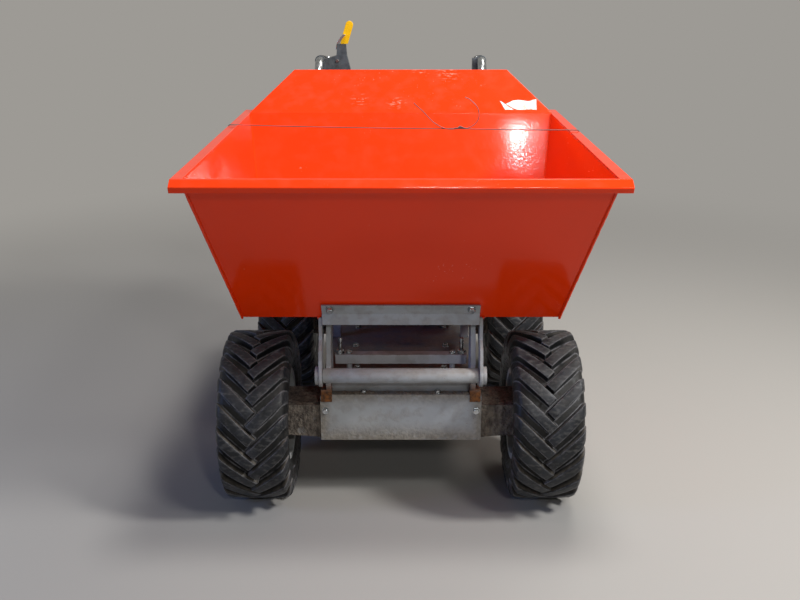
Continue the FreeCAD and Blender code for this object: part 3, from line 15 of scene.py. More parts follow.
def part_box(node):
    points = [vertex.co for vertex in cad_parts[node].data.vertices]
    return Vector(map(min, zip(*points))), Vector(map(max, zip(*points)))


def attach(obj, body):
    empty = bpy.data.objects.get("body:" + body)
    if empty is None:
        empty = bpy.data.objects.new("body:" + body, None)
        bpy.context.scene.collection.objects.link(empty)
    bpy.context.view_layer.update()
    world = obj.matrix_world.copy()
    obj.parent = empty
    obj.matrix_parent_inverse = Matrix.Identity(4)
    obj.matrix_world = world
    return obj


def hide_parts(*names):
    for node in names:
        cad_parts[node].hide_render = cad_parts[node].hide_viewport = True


bl_info = {
    "name": "Site dumper looks",
    "version": (1, 0, 0),
    "blender": (4, 5, 0),
    "location": "3D View > Sidebar > Dumper",
    "description": "Finishes, tyres, fasteners, welds and stage of a walk-behind site dumper",
    "category": "Object",
}

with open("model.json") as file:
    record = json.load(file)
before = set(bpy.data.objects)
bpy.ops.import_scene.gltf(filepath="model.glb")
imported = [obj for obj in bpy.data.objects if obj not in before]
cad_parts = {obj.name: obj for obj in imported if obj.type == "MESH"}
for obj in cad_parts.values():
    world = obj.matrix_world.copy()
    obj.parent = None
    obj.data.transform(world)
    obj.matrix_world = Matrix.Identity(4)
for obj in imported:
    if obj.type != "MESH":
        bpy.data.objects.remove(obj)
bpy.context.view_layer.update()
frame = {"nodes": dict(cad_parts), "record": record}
NODES = frame["nodes"]
MM = 0.001

SIDES = (("left", -1), ("right", 1))
CORNERS = tuple((axle + "_" + side, sign) for axle in ("front", "rear") for side, sign in SIDES)


# Colours and nodes


def linear(code):
    """Linear RGBA of an sRGB hex colour."""
    parts = [int(code[place:place + 2], 16) / 255 for place in (1, 3, 5)]
    return [part / 12.92 if part <= 0.04045 else ((part + 0.055) / 1.055) ** 2.4
            for part in parts] + [1.0]


def add(tree, kind, links=None, **settings):
    """Add a node with its settings, and set or link its inputs by name or place."""
    made = tree.nodes.new(kind)
    for name, value in settings.items():
        setattr(made, name, value)
    for name, value in (links or {}).items():
        socket = made.inputs[name]
        if isinstance(value, bpy.types.NodeSocket):
            tree.links.new(value, socket)
        else:
            socket.default_value = value
    return made


def new_material(name, **constants):
    """Material with one Principled shader and its fixed inputs; returns it and its tree."""
    material = bpy.data.materials.new(name)
    material.use_nodes = True
    tree = material.node_tree
    for socket, value in constants.items():
        tree.nodes["Principled BSDF"].inputs[socket.replace("_", " ")].default_value = value
    return material, tree


def where(tree):
    """Place on the machine, in metres."""
    return add(tree, "ShaderNodeTexCoord").outputs["Object"]


def ramp(tree, value, start, end, **settings):
    """Mask that goes from 0 where the value is at start to 1 where it is at end."""
    return add(tree, "ShaderNodeMapRange", {"Value": value, "From Min": start, "From Max": end},
               **settings).outputs["Result"]


def speckle(tree, grain_mm, low=0.3, high=0.7, detail=4.0, stretch=(1, 1, 1)):
    """Mask from noise whose grain has a real size, cut between two levels."""
    scaled = add(tree, "ShaderNodeMapping", {"Vector": where(tree), "Scale": stretch})
    grains = add(tree, "ShaderNodeTexNoise", {"Vector": scaled.outputs["Vector"],
                                              "Scale": 1 / (grain_mm * MM), "Detail": detail})
    return ramp(tree, grains.outputs[0], low, high)


def facing_up(tree, low=0.3, high=0.9):
    """Mask of surfaces that face up, where dust settles."""
    normal = add(tree, "ShaderNodeNewGeometry").outputs["Normal"]
    return ramp(tree, add(tree, "ShaderNodeSeparateXYZ", {"Vector": normal}).outputs["Z"],
                low, high)


def near_edge(tree, width_mm):
    """Mask of a band along sharp edges, where paint wears through first; on the tyres it places a
    painted highlight.
    """
    rounded = add(tree, "ShaderNodeBevel", {"Radius": width_mm * MM}, samples=4).outputs["Normal"]
    flat = add(tree, "ShaderNodeNewGeometry").outputs["Normal"]
    same = add(tree, "ShaderNodeVectorMath", {0: rounded, 1: flat}, operation="DOT_PRODUCT")
    return ramp(tree, same.outputs["Value"], 0.995, 0.93)


def near_point(tree, point, reach_mm):
    """Mask round one place on the machine, full there and gone at its reach."""
    away = add(tree, "ShaderNodeVectorMath", {0: where(tree), 1: Vector(point) * MM},
               operation="DISTANCE").outputs["Value"]
    return ramp(tree, away, reach_mm * MM, reach_mm * MM * 0.3)


def both(tree, first, second, operation="MULTIPLY"):
    """Two masks joined by one sum."""
    return add(tree, "ShaderNodeMath", {0: first, 1: second}, operation=operation,
               use_clamp=True).outputs["Value"]


def mix_colour(tree, mask, below, above):
    """Colour above laid over colour below by a mask."""
    return add(tree, "ShaderNodeMix", {0: mask, 6: below, 7: above}, data_type="RGBA").outputs[2]


def mottle(tree, mask, below, above):
    """Two hex colours mixed by a mask."""
    return mix_colour(tree, mask, linear(below), linear(above))


def tint(tree, colour, mask, share, code):
    """Hex colour laid over another colour by a share of a mask."""
    return mix_colour(tree, both(tree, mask, share), colour, linear(code))


def shade(colour, factor, lift=0.0):
    """Colour with its parts made smaller or larger."""
    return [part * factor + lift for part in list(colour)[:3]] + [1.0]


def blend_value(tree, mask, below, above):
    """Number above laid over number below by a mask."""
    return add(tree, "ShaderNodeMapRange", {"Value": mask, "To Min": below, "To Max": above}
               ).outputs["Result"]


def dress(material, colour, rough, *layers):
    """Link colour, roughness (None keeps the fixed one) and relief to a material's shader.

    The relief is bump in stacked layers, each (height mask, depth in mm).
    """
    tree = material.node_tree
    inputs = tree.nodes["Principled BSDF"].inputs
    tree.links.new(colour, inputs["Base Color"])
    if rough is not None:
        tree.links.new(rough, inputs["Roughness"])
    normal = None
    for height, depth_mm in layers:
        links = {"Height": height, "Distance": depth_mm * MM, "Strength": 1.0}
        if normal is not None:
            links["Normal"] = normal
        normal = add(tree, "ShaderNodeBump", links).outputs["Normal"]
    tree.links.new(normal, inputs["Normal"])
    return material


# Finishes


SCUFFS = (
    # x, y, z and reach of each rubbed place, mm
    (-117, 216, 878, 34), (-12, 205, 871, 34), (140, 312, 948, 42), (60, 318, 953, 30),
)


def gloss_enamel(name, code):
    """Gloss enamel sprayed on steel sheet: strong colour, orange peel, a few scuffs, thin dust."""
    material, tree = new_material(name, IOR=1.45, Specular_IOR_Level=0.35)
    colour = mix_colour(tree, speckle(tree, 240, detail=1.0), code, shade(code, 0.93))
    rubbed = both(tree, speckle(tree, 5, 0.67, 0.73, 6.0, (1, 0.2, 1)),
                  speckle(tree, 190, 0.56, 0.62))
    marks = speckle(tree, 6, 0.55, 0.62, 6.0, (0.35, 1, 1))
    for x, y, z, reach in SCUFFS:
        mark = both(tree, near_point(tree, (x, y, z), reach), marks)
        rubbed = both(tree, rubbed, mark, "MAXIMUM")
    colour = tint(tree, colour, rubbed, 0.4, "#F7A58A")
    dust = both(tree, facing_up(tree), speckle(tree, 40, 0.45, 0.75, 8.0))
    colour = tint(tree, colour, dust, 0.06, "#B49A86")
    chips = both(tree, near_edge(tree, 1.6), speckle(tree, 7, 0.6, 0.66))
    colour = tint(tree, colour, chips, 0.7, "#7A3018")
    rough = both(tree, blend_value(tree, speckle(tree, 60), 0.08, 0.11),
                 both(tree, rubbed, 0.3), "ADD")
    return dress(material, colour, rough, (speckle(tree, 260, 0.2, 0.8, 1.0), 2.0),
                 (speckle(tree, 9, detail=1.0), 0.045))


def frame_enamel(name, code, mud, edges=None, runs=(1, 1, 1), soils=("#8F8677", "#6E6354")):
    """Satin enamel on plate and tube, dusty on top, rusty at edges and splashed with mud."""
    material, tree = new_material(name)
    colour = mix_colour(tree, speckle(tree, 70, detail=8.0), code, shade(code, 0.8))
    rust = both(tree, near_edge(tree, 2.5), speckle(tree, 14, 0.5, 0.6, 8.0))
    spots = both(tree, speckle(tree, 4, 0.68, 0.72), speckle(tree, 90, 0.52, 0.62))
    rust = both(tree, rust, spots, "ADD")
    stain = mottle(tree, speckle(tree, 4), "#4A2A1A", "#7C4526")
    colour = mix_colour(tree, both(tree, rust, 0.8), colour, stain)
    dust = both(tree, facing_up(tree, 0.2, 0.8), speckle(tree, 40, 0.25, 0.6, 8.0))
    colour = tint(tree, colour, dust, 0.6, "#8B8378")
    spread = mud * 0.32
    splash = both(tree, speckle(tree, 30, 0.5 - spread, 0.62 - spread, 10.0, runs),
                  min(1.0, 0.15 + mud))
    if edges:
        splash = both(tree, splash, dirt_frame(tree, *edges), "MAXIMUM")
    soil = mottle(tree, speckle(tree, 9, 0.35, 0.65, 8.0, runs), *soils)
    colour = mix_colour(tree, splash, colour, soil)
    layer_mask = both(tree, both(tree, rust, dust, "MAXIMUM"), splash, "MAXIMUM")
    return dress(material, colour, blend_value(tree, layer_mask, 0.42, 0.88),
                 (both(tree, splash, speckle(tree, 7, detail=8.0)), 0.8 + 3 * mud),
                 (speckle(tree, 2.5), 0.06))


def dirt_frame(tree, half_x, low, high, depth):
    """Mask of the dirt that dries along the edges of an upright plate, thickest at its foot."""
    axes = add(tree, "ShaderNodeSeparateXYZ", {"Vector": where(tree)}).outputs
    wide = add(tree, "ShaderNodeMath", {0: axes["X"]}, operation="ABSOLUTE").outputs["Value"]
    sides = ramp(tree, wide, (half_x - depth) * MM, (half_x - depth * 0.25) * MM)
    foot = ramp(tree, axes["Z"], (low + depth * 1.5) * MM, (low + depth * 0.3) * MM)
    head = ramp(tree, axes["Z"], (high - depth) * MM, (high - depth * 0.1) * MM)
    mask = both(tree, both(tree, sides, foot, "MAXIMUM"), head, "MAXIMUM")
    ragged = both(tree, mask, both(tree, speckle(tree, 12, detail=10.0), 0.6, "ADD"))
    return both(tree, ragged, 0.75)


def rusty_foot(name, code):
    """Satin enamel on flat steel that has rusted through at its foot: brown scale, ragged edge."""
    material, tree = new_material(name)
    colour = mix_colour(tree, speckle(tree, 40, detail=8.0), code, shade(code, 0.75))
    height = add(tree, "ShaderNodeSeparateXYZ", {"Vector": where(tree)}).outputs["Z"]
    low = ramp(tree, height, 335 * MM, 288 * MM)
    ragged = both(tree, low, both(tree, speckle(tree, 14, detail=10.0), low, "ADD"))
    rust = both(tree, ragged, both(tree, near_edge(tree, 2.5), speckle(tree, 14, 0.45, 0.6)),
                "MAXIMUM")
    stain = mottle(tree, speckle(tree, 9, 0.35, 0.65, 8.0), "#8A5426", "#46301F")
    colour = mix_colour(tree, rust, colour, stain)
    return dress(material, colour, blend_value(tree, rust, 0.45, 0.9),
                 (both(tree, rust, speckle(tree, 3, detail=8.0)), 0.3))


def zinc_plate(name):
    """Bright zinc plate: silvery, faintly mottled, dulled by handling."""
    material, tree = new_material(name, Metallic=1.0)
    colour = mottle(tree, speckle(tree, 12), "#C3C6C8", "#9EA2A4")
    grime = speckle(tree, 26, 0.58, 0.7, 8.0)
    colour = tint(tree, colour, grime, 0.6, "#6A645C")
    return dress(material, colour, blend_value(tree, grime, 0.26, 0.6), (speckle(tree, 2), 0.02))


def cast_metal(name, code, metallic, rough):
    """Sand-cast or die-cast metal: fine grain, with oil and dust in its hollows."""
    material, tree = new_material(name, Metallic=metallic)
    colour = mix_colour(tree, speckle(tree, 22, 0.42, 0.68, 8.0), code, shade(code, 0.55))
    dust = both(tree, facing_up(tree), speckle(tree, 18, 0.4, 0.7, 8.0))
    colour = tint(tree, colour, dust, 0.5, "#8C8479")
    return dress(material, colour, blend_value(tree, dust, rough, 0.85),
                 (speckle(tree, 1.6), 0.12))


def moulded(name, code, rough, grain_mm, depth_mm):
    """Moulded plastic or rubber: even dark colour, fine texture and settled dust."""
    material, tree = new_material(name)
    colour = mix_colour(tree, speckle(tree, 35, 0.4, 0.7), code, shade(code, 1.5, 0.004))
    dust = both(tree, facing_up(tree), speckle(tree, 24, 0.35, 0.7, 8.0))
    colour = tint(tree, colour, dust, 0.4, "#857E75")
    return dress(material, colour, blend_value(tree, dust, rough, 0.85),
                 (speckle(tree, grain_mm), depth_mm))


def plain_enamel(name, code, rough):
    """Sprayed enamel with light handling marks and dust."""
    material, tree = new_material(name)
    colour = mix_colour(tree, speckle(tree, 30, 0.4, 0.7), code, shade(code, 0.84))
    chips = both(tree, near_edge(tree, 1.5), speckle(tree, 6, 0.56, 0.62))
    colour = mix_colour(tree, chips, colour, linear("#55504A"))
    dust = both(tree, facing_up(tree), speckle(tree, 30, 0.35, 0.7, 8.0))
    colour = tint(tree, colour, dust, 0.35, "#8C857B")
    return dress(material, colour, blend_value(tree, dust, rough, 0.8),
                 (speckle(tree, 2.2), 0.03))


def hot_steel(name):
    """Steel pressing browned and blued by exhaust heat, with light rust."""
    material, tree = new_material(name, Metallic=0.85)
    colour = mottle(tree, speckle(tree, 30, 0.35, 0.65), "#8C8078", "#6E5A48")
    rust = speckle(tree, 14, 0.56, 0.66, 8.0)
    colour = mix_colour(tree, rust, colour, linear("#6B3F26"))
    return dress(material, colour, blend_value(tree, rust, 0.38, 0.85),
                 (speckle(tree, 2.5), 0.08))


def tyre_rubber(name, code, dust):
    """Moulded tyre rubber: near black, lug tops scuffed blue-grey, painted highlight on lug edges,
    dust on flanks and between.
    """
    material, tree = new_material(name, Specular_IOR_Level=0.35, Sheen_Weight=0.03,
                                  Sheen_Roughness=0.5)
    height = add(tree, "ShaderNodeAttribute", attribute_name="lug_height").outputs["Fac"]
    top = ramp(tree, height, 0.8, 1.0)
    scuffed = both(tree, top, speckle(tree, 34, 0.25, 0.65, 8.0, (1, 0.4, 1)))
    colour = tint(tree, linear(code), scuffed, 0.8, "#24272D")
    # Painted highlight: a light band along the lug edges, where light would catch them.
    layer_mask = both(tree, near_edge(tree, 5.0), speckle(tree, 20, 0.3, 0.6, 8.0))
    colour = tint(tree, colour, layer_mask, 0.6, "#8B8A8E")
    streaks = both(tree, top, speckle(tree, 7, 0.5, 0.7, 10.0, (0.5, 1, 1)))
    colour = tint(tree, colour, streaks, 0.25, "#7C7A76")
    packed = both(tree, ramp(tree, height, 0.3, 0.0), speckle(tree, 12, 0.5, 0.72, 8.0))
    colour = tint(tree, colour, packed, 0.1, dust)
    film = both(tree, facing_up(tree, 0.1, 0.9), speckle(tree, 20, 0.35, 0.7, 8.0))
    colour = tint(tree, colour, film, 0.15, dust)
    flank = both(tree, both(tree, facing_up(tree, 0.15, 0.6), top, "SUBTRACT"),
                 both(tree, ramp(tree, height, 0.35, 0.7), speckle(tree, 15, 0.2, 0.6, 8.0)))
    colour = tint(tree, colour, flank, 0.7, dust)
    dull = both(tree, packed, film, "MAXIMUM")
    return dress(material, colour, blend_value(tree, dull, 0.4, 0.85),
                 (speckle(tree, 9, detail=6.0), 0.3), (speckle(tree, 1.5), 0.12))


def dry_mud(name):
    """Dried mud and grit: pale brown-grey crumbs, quite matt."""
    material, tree = new_material(name, Roughness=0.95)
    colour = mottle(tree, speckle(tree, 6, 0.35, 0.65, 8.0), "#8A7F71", "#5F554A")
    return dress(material, colour, None, (speckle(tree, 2, detail=8.0), 0.6))


def label_film(name):
    """Torn white film with its adhesive: matt, slightly soiled."""
    material, tree = new_material(name, Roughness=0.6)
    colour = mottle(tree, speckle(tree, 8, 0.5, 0.66, 8.0), "#F1EEE9", "#F0A98C")
    return dress(material, colour, None, (speckle(tree, 4), 0.1))


# Meshes


def placed(name, data):
    """New object in the scene's own collection."""
    made = bpy.data.objects.new(name, data)
    bpy.context.scene.collection.objects.link(made)
    return made


def piece(name, mesh, material, body, smooth=True):
    """Object from a bmesh, finished and riding on a body."""
    data = bpy.data.meshes.new(name)
    mesh.normal_update()
    mesh.to_mesh(data)
    mesh.free()
    data.materials.append(material)
    if smooth:
        data.shade_smooth()
        data.set_sharp_from_angle(angle=radians(35))
    made = placed(name, data)
    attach(made, body)
    return made


def grid(mesh, rows, closed=False):
    """Faces between rows of points; closed joins the last row to the first."""
    lines = [[mesh.verts.new(point) for point in row] for row in rows]
    pairs = list(zip(lines, lines[1:])) + ([(lines[-1], lines[0])] if closed else [])
    for near, far in pairs:
        for place in range(len(near) - 1):
            mesh.faces.new((near[place], near[place + 1], far[place + 1], far[place]))
    return lines


def prism(mesh, near, far):
    """Solid between two outlines with the same number of points."""
    near, far = ([mesh.verts.new(point) for point in outline] for outline in (near, far))
    for place in range(len(near)):
        mesh.faces.new((near[place - 1], near[place], far[place], far[place - 1]))
    mesh.faces.new(near)
    mesh.faces.new(reversed(far))


HEAD_STEPS = 24


def hex_head(mesh, place, axis, across, height, washer):
    """Hexagon bolt head with chamfered corners on a washer."""
    turn = Vector(axis).normalized().to_track_quat("Z", "Y").to_matrix().to_4x4()
    base = Matrix.Translation(place) @ turn
    rows = []
    # radius of each ring, None for the hexagon, and its share of the height
    for radius, share in ((washer, 0.0), (washer, 0.12), (None, 0.12), (None, 0.86),
                          (across / 2 * 0.94, 1.0), (0.0, 1.0)):
        row = []
        for step in range(HEAD_STEPS + 1):
            angle = 2 * pi * step / HEAD_STEPS
            reach = across / 2 / cos(angle % (pi / 3) - pi / 6) if radius is None else radius
            row.append(base @ Vector((reach * cos(angle), reach * sin(angle), share * height)))
        rows.append(row)
    grid(mesh, rows)


def tube(mesh, points, radius, sides=8):
    """Round tube along points, closed at both ends; the radius may depend on the place."""
    rows = [[points[0]] * (sides + 1)]
    previous = None
    for place, point in enumerate(points):
        ahead = points[min(place + 1, len(points) - 1)] - points[max(place - 1, 0)]
        ahead.normalize()
        guide = previous or ahead.orthogonal().normalized()
        side = (guide - ahead * guide.dot(ahead)).normalized()
        previous = side
        up = ahead.cross(side)
        size = radius(place) if callable(radius) else radius
        rows.append([point + (side * cos(2 * pi * step / sides) + up * sin(2 * pi * step / sides))
                     * size for step in range(sides + 1)])
    rows.append([points[-1]] * (sides + 1))
    grid(mesh, rows)


def clean(mesh):
    """Join doubled points and drop faces that have no area."""
    bmesh.ops.remove_doubles(mesh, verts=mesh.verts, dist=1e-6)
    bmesh.ops.dissolve_degenerate(mesh, dist=1e-7, edges=mesh.edges)
    bmesh.ops.recalc_face_normals(mesh, faces=mesh.faces)


# Tyres


def tyre_point(centre, sign, x, radius, angle):
    """Point on a tyre: angle grows from the front of the wheel upwards."""
    return Vector((centre.x + sign * x, centre.y - radius * cos(angle),
                   centre.z + radius * sin(angle)))


TYRE_RADIUS = 205 * MM
LUG_GAP = 5 * MM
LUG_MIDDLE = 41.25 * MM
LUG_SHOULDER = 62 * MM
CARCASS = (
    # x, radius, mm
    (60.0, 103.0), (66.5, 105.0), (69.5, 112.0), (74.5, 121.0), (77.5, 128.0), (78.0, 131.5),
    (79.6, 133.0), (81.2, 141.0), (82.2, 150.0), (81.6, 160.0), (79.0, 170.0), (75.0, 177.5),
    (69.0, 183.0), (62.0, 186.0), (45.0, 187.5), (20.0, 188.5),
)
LUG_SECTION = (
    # across in half widths, height share
    (-1.16, 0.0), (-1.04, 0.45), (-0.96, 0.9), (-0.92, 0.98), (-0.86, 1.0), (-0.3, 1.0),
    (0.3, 1.0), (0.86, 1.0), (0.92, 0.98), (0.96, 0.9), (1.04, 0.45), (1.16, 0.0),
)
LUG_RUN = (
    # share of the way to the shoulder, foot x, foot radius, top x, top radius in mm, height
    # share; no x on the crown, where it follows from the share
    (0.00, None, 186.0, None, 186.0, 0.0), (0.01, None, 186.0, None, 198.0, 0.6),
    (0.035, None, 186.0, None, 203.4, 0.95), (0.07, None, 186.0, None, 204.8, 1.0),
    (0.3, None, 186.0, None, 205.0, 1.0), (0.55, None, 186.0, None, 205.0, 1.0),
    (0.8, None, 184.0, None, 204.8, 1.0), (1.0, 63.0, 180.0, 66.0, 204.2, 1.0),
    (1.0, 66.0, 176.0, 71.5, 202.0, 1.0), (1.0, 69.0, 172.0, 75.0, 197.0, 1.0),
    (1.0, 72.0, 168.0, 78.0, 189.0, 1.0), (1.0, 74.0, 165.0, 80.5, 180.0, 1.0),
    (1.0, 76.0, 162.0, 82.0, 171.0, 1.0), (1.0, 78.0, 160.0, 82.4, 164.0, 0.8),
    (1.0, 78.0, 158.0, 80.0, 158.5, 0.0),
)


def carcass_rings(mesh, centre, heights, lugs):
    """Skin of the tyre between its lugs, with a protector ridge on each wall."""
    profile = [*CARCASS, *((-x, radius) for x, radius in reversed(CARCASS))]
    count = lugs * 6
    rows = []
    for step in range(count):
        angle = 2 * pi * step / count
        rows.append([tyre_point(centre, 1, x * MM, radius * MM, angle) for x, radius in profile])
    for line in grid(mesh, rows, closed=True):
        for vert in line:
            vert[heights] = 0.0


def lug_surface(mesh, centre, heights, sign, turn, sizes):
    """One lug: a rounded bar from the middle over the shoulder, cut parallel to its neighbour."""
    rise = tan(sizes.lug_angle)
    thick = sizes.lug_width / cos(sizes.lug_angle) / 2
    gap = LUG_GAP / cos(sizes.lug_angle)
    stagger = pi * TYRE_RADIUS / sizes.lugs
    low_x = (2 * thick + gap - stagger) / (2 * rise)
    high_x = (gap - stagger) / (2 * rise)
    rows = []
    shares = []
    for share, base_x, base_r, top_x, top_r, height in LUG_RUN:
        row = []
        for across, level in LUG_SECTION:
            side = (across + 1) / 2
            start = low_x + (high_x - low_x) * side
            if base_x is None:
                foot_x = tip_x = start + (LUG_SHOULDER - start) * share
            else:
                foot_x, tip_x = base_x * MM, top_x * MM
            x = foot_x + (tip_x - foot_x) * level
            radius = (base_r + (top_r - base_r) * level) * MM
            taper = 1.0 if share < 1 else 0.94
            along = (tip_x * rise - LUG_MIDDLE * rise + across * thick * taper) / TYRE_RADIUS
            row.append(tyre_point(centre, sign, x, radius, along + turn))
            shares.append(level * height)
        rows.append(row)
    verts = [vert for line in grid(mesh, rows) for vert in line]
    for vert, share in zip(verts, shares):
        vert[heights] = share


def build_tyre(corner, sign, material, sizes):
    """Tyre of one corner; it takes the CAD tyre's place."""
    low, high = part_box("tyre_" + corner)
    centre = (low + high) / 2
    mesh = bmesh.new()
    heights = mesh.verts.layers.float.new("lug_height")
    carcass_rings(mesh, centre, heights, sizes.lugs)
    pitch = 2 * pi / sizes.lugs
    for row, start in ((sign, 0.0), (-sign, pitch / 2)):
        for place in range(sizes.lugs):
            lug_surface(mesh, centre, heights, row, start + place * pitch, sizes)
    bmesh.ops.recalc_face_normals(mesh, faces=mesh.faces)
    made = piece("detailed_tyre_" + corner, mesh, material, "wheel_" + corner)
    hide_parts("tyre_" + corner)


# Fasteners


FASTENERS = {
    # body: axis, width across flats, height, washer radius in mm, both sides, seats (x, y, z)
    "skip": (
        ((0, -0.846, -0.533), 15, 9, 11, True, (163, -515.4, 501)),
        ((1, 0, 0), 13, 6, 9, True, (197, -430, 456)),
    ),
    "chassis": (
        ((0, -1, 0), 13, 7, 9, True, (180, -510, 240)),
        ((0, 1, 0), 13, 7, 9, True, (172, 345, 188), (172, 345, 256)),
        ((0, 0, 1), 13, 7, 9, True, (88, -497, 282), (110, -350, 282), (120, -60, 282),
         (120, -200, 282), (138, 36, 290), (138, 304, 290)),
        ((0, 0, 1), 17, 9, 11, True, (150, -390, 340)),
        ((0, 0, 1), 13, 6, 8, True, (128, -390, 340)),
        ((0, 0, 1), 10, 5, 7, True, (181, -440, 282)),
        ((0, 0, 1), 13, 7, 8, False, (-58, 81, 300), (54, 81, 300), (-58, 269, 300),
         (54, 269, 300)),
        ((-1, 0, 0), 8, 4, 0, False, (-139, 175, 343)),
        ((1, 0, 0), 10, 5, 8, False, (144, 0, 332), (144, 100, 366)),
        ((1, 0, 0), 17, 6, 14, False, (144, 175, 395)),
        ((0, 0, 1), 10, 5, 0, False, (40, 95, 560)),
        ((0, 0, 1), 8, 4, 5, False, (248, 616, 966.5)),
        ((-0.25, 0, 0.97), 8, 4, 5, False, (-236, 616, 966.8)),
        ((0, 1, 0), 13, 6, 9, False, (-184, 622, 1022)),
        ((0, -1, 0), 10, 5, 6, False, (-206, 603, 958)),
    ),
}


def build_fasteners(body, material):
    """Bolts and nuts of the frame, skip and engine, joined into one piece for a body."""
    mesh = bmesh.new()
    for axis, across, height, washer, twice, *seats in FASTENERS[body]:
        for x, y, z in seats:
            for side in (1, -1) if twice else (1,):
                hex_head(mesh, Vector((x * side, y, z)) * MM, (axis[0] * side, *axis[1:]),
                         across * MM, height * MM, max(washer, across / 2) * MM)
    clean(mesh)
    piece("fasteners_" + body, mesh, material, body)


WHEEL_NUTS = 5
NUT_CIRCLE = 42 * MM
NUT_SIZES = (17 * MM, 11 * MM, 9.5 * MM)  # across flats, height, radius of the washer
RIM_FACE = 22 * MM
STUD_LENGTH = 17 * MM
STUD_RADIUS = 5 * MM
VALVE_OUT = 34 * MM
VALVE_UP = 82 * MM
VALVE_WAY = (26 * MM, -10 * MM)


def build_wheel_nuts(corner, sign, material):
    """Wheel nuts on studs, and the valve, of one wheel."""
    low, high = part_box("rim_" + corner)
    centre = (low + high) / 2
    mesh = bmesh.new()
    for place in range(WHEEL_NUTS):
        angle = 2 * pi * (place + 0.25) / WHEEL_NUTS
        seat = Vector((centre.x + sign * RIM_FACE, centre.y + NUT_CIRCLE * cos(angle),
                       centre.z + NUT_CIRCLE * sin(angle)))
        hex_head(mesh, seat, (sign, 0, 0), *NUT_SIZES)
        tube(mesh, [seat, seat + Vector((sign * STUD_LENGTH, 0, 0))], STUD_RADIUS, 12)
    root = Vector((centre.x + sign * VALVE_OUT, centre.y, centre.z + VALVE_UP))
    tip = root + Vector((sign * VALVE_WAY[0], 0, VALVE_WAY[1]))
    tube(mesh, [root, root.lerp(tip, 0.6), root.lerp(tip, 0.61), tip],
         lambda step: (4.5 if step < 2 else 3.2) * MM, 12)
    clean(mesh)
    piece("wheel_nuts_" + corner, mesh, material, "wheel_" + corner)


# Welds


WELDS = {
    # body: start, end in mm, both sides
    "skip": (
        ((366.8, -111.3, 477), (429.9, 166.7, 847), True),
        ((366.8, -488.4, 477), (429.9, -728.3, 847), True),
        ((370, -490, 469), (430.5, -720, 827), True),
        ((365, -487, 477), (365, -113, 477), True),
        ((-364, -487, 477), (364, -487, 477), False),
        ((-364, -113, 477), (364, -113, 477), False),
        ((192, -494, 471), (192, -158, 471), True),
    ),
    "chassis": (
        ((95, 346, 216), (145, 346, 216), True),
        ((185, -135, 283), (185, -115, 283), True),
        ((165, -115, 283), (185, -115, 283), True),
    ),
}
RIPPLE = 1.6 * MM


def bead(mesh, start, end, radius):
    """Weld bead between two points: overlapping ripples with small changes of width."""
    steps = max(2, int((end - start).length / RIPPLE))
    points = [start.lerp(end, step / steps) for step in range(steps + 1)]

    def size(step):
        ripple = 0.16 * abs(sin(step * 0.9)) + 0.22 * noise.noise(points[step] * 60)
        return radius * (0.9 + ripple)

    tube(mesh, points, size)


def build_welds(body, sizes, material):
    """Weld beads where the skip's panels or the frame's plates meet."""
    mesh = bmesh.new()
    for start, end, twice in WELDS[body]:
        for side in (1, -1) if twice else (1,):
            bead(mesh, Vector((start[0] * side, *start[1:])) * MM,
                 Vector((end[0] * side, *end[1:])) * MM, sizes.weld_radius)
    clean(mesh)
    piece("welds_" + body, mesh, material, body)


# Tie wire and what is left of a label


WIRE = (
    # points of each strand in mm, as straight as it is pulled or as bent as it was left
    ((-452.8, -65, 845), (-452.4, -65, 850.5), (-449, -65.5, 853.3), (-440, -66.4, 853.4),
     (-415, -69, 853.2), (-350, -76, 852.4), (-200, -92, 851.5), (0, -110, 851),
     (120, -121, 852), (152, -124, 853)),
    ((452.8, -154, 845), (452.4, -154, 850.5), (449, -153.6, 853.3), (440, -152.6, 853.4),
     (415, -150, 853.2), (350, -144, 852.4), (200, -129, 852), (152, -124, 853)),
    ((160, -124, 854), (152, -122, 858), (140, -125, 852), (112, -122, 853), (84, -118, 868),
     (58, -116, 894), (40, -118, 910), (33, -119, 917)),
    ((146, -124, 853), (156, -126, 857), (168, -124, 853), (188, -122, 862), (200, -120, 880),
     (196, -118, 905), (178, -118, 924), (164, -118, 931)),
)


TWIST = (138, -124, 853)  # where the strands start to turn round each other, mm
TWIST_RADIUS = 1.6
PATH_STEPS = 10


def smooth_path(points):
    """Points along a smooth line through the given ones."""
    made = []
    padded = [points[0] * 2 - points[1], *points, points[-1] * 2 - points[-2]]
    for before, start, end, after in zip(padded, padded[1:], padded[2:], padded[3:]):
        for step in range(PATH_STEPS):
            t = step / PATH_STEPS
            made.append(0.5 * (2 * start + (end - before) * t
                               + (2 * before - 5 * start + 4 * end - after) * t ** 2
                               + (3 * start - before - 3 * end + after) * t ** 3))
    return [*made, points[-1]]


def build_wire(sizes, material):
    """Thin tie wire pulled across the skip from rim to rim, twisted off near the middle."""
    mesh = bmesh.new()
    for strand in WIRE:
        tube(mesh, smooth_path([Vector(point) * MM for point in strand]), sizes.wire_radius)
    x, y, z = TWIST
    turns = []
    for step in range(60):
        angle = step * 0.9
        turns.append(Vector((x + step * 0.5, y + TWIST_RADIUS * cos(angle),
                             z + TWIST_RADIUS * sin(angle))) * MM)
    tube(mesh, turns, sizes.wire_radius)
    clean(mesh)
    piece("tie_wire", mesh, material, "skip")


LABEL = (
    # x and height on the guard plate in mm, round the outline of each torn remnant
    ((303, 872.6), (309, 873.4), (325, 880.2), (341, 881.4), (356, 880.2), (370, 878.0),
     (381, 881.1), (393, 883.8), (391, 871.5), (390, 858.3), (365, 858.8), (333, 858.2),
     (318, 864.6)),
    ((287, 879.2), (293, 876.8), (308, 867.4), (324, 858.4), (300, 858.2), (295, 865.5),
     (291, 872.9)),
)


GUARD_FOOT = (169, 850)  # y and z of a point on the plate's front, mm
GUARD_LEAN = 155.0 / 107.0
FILM_DEPTH = 0.35 * MM


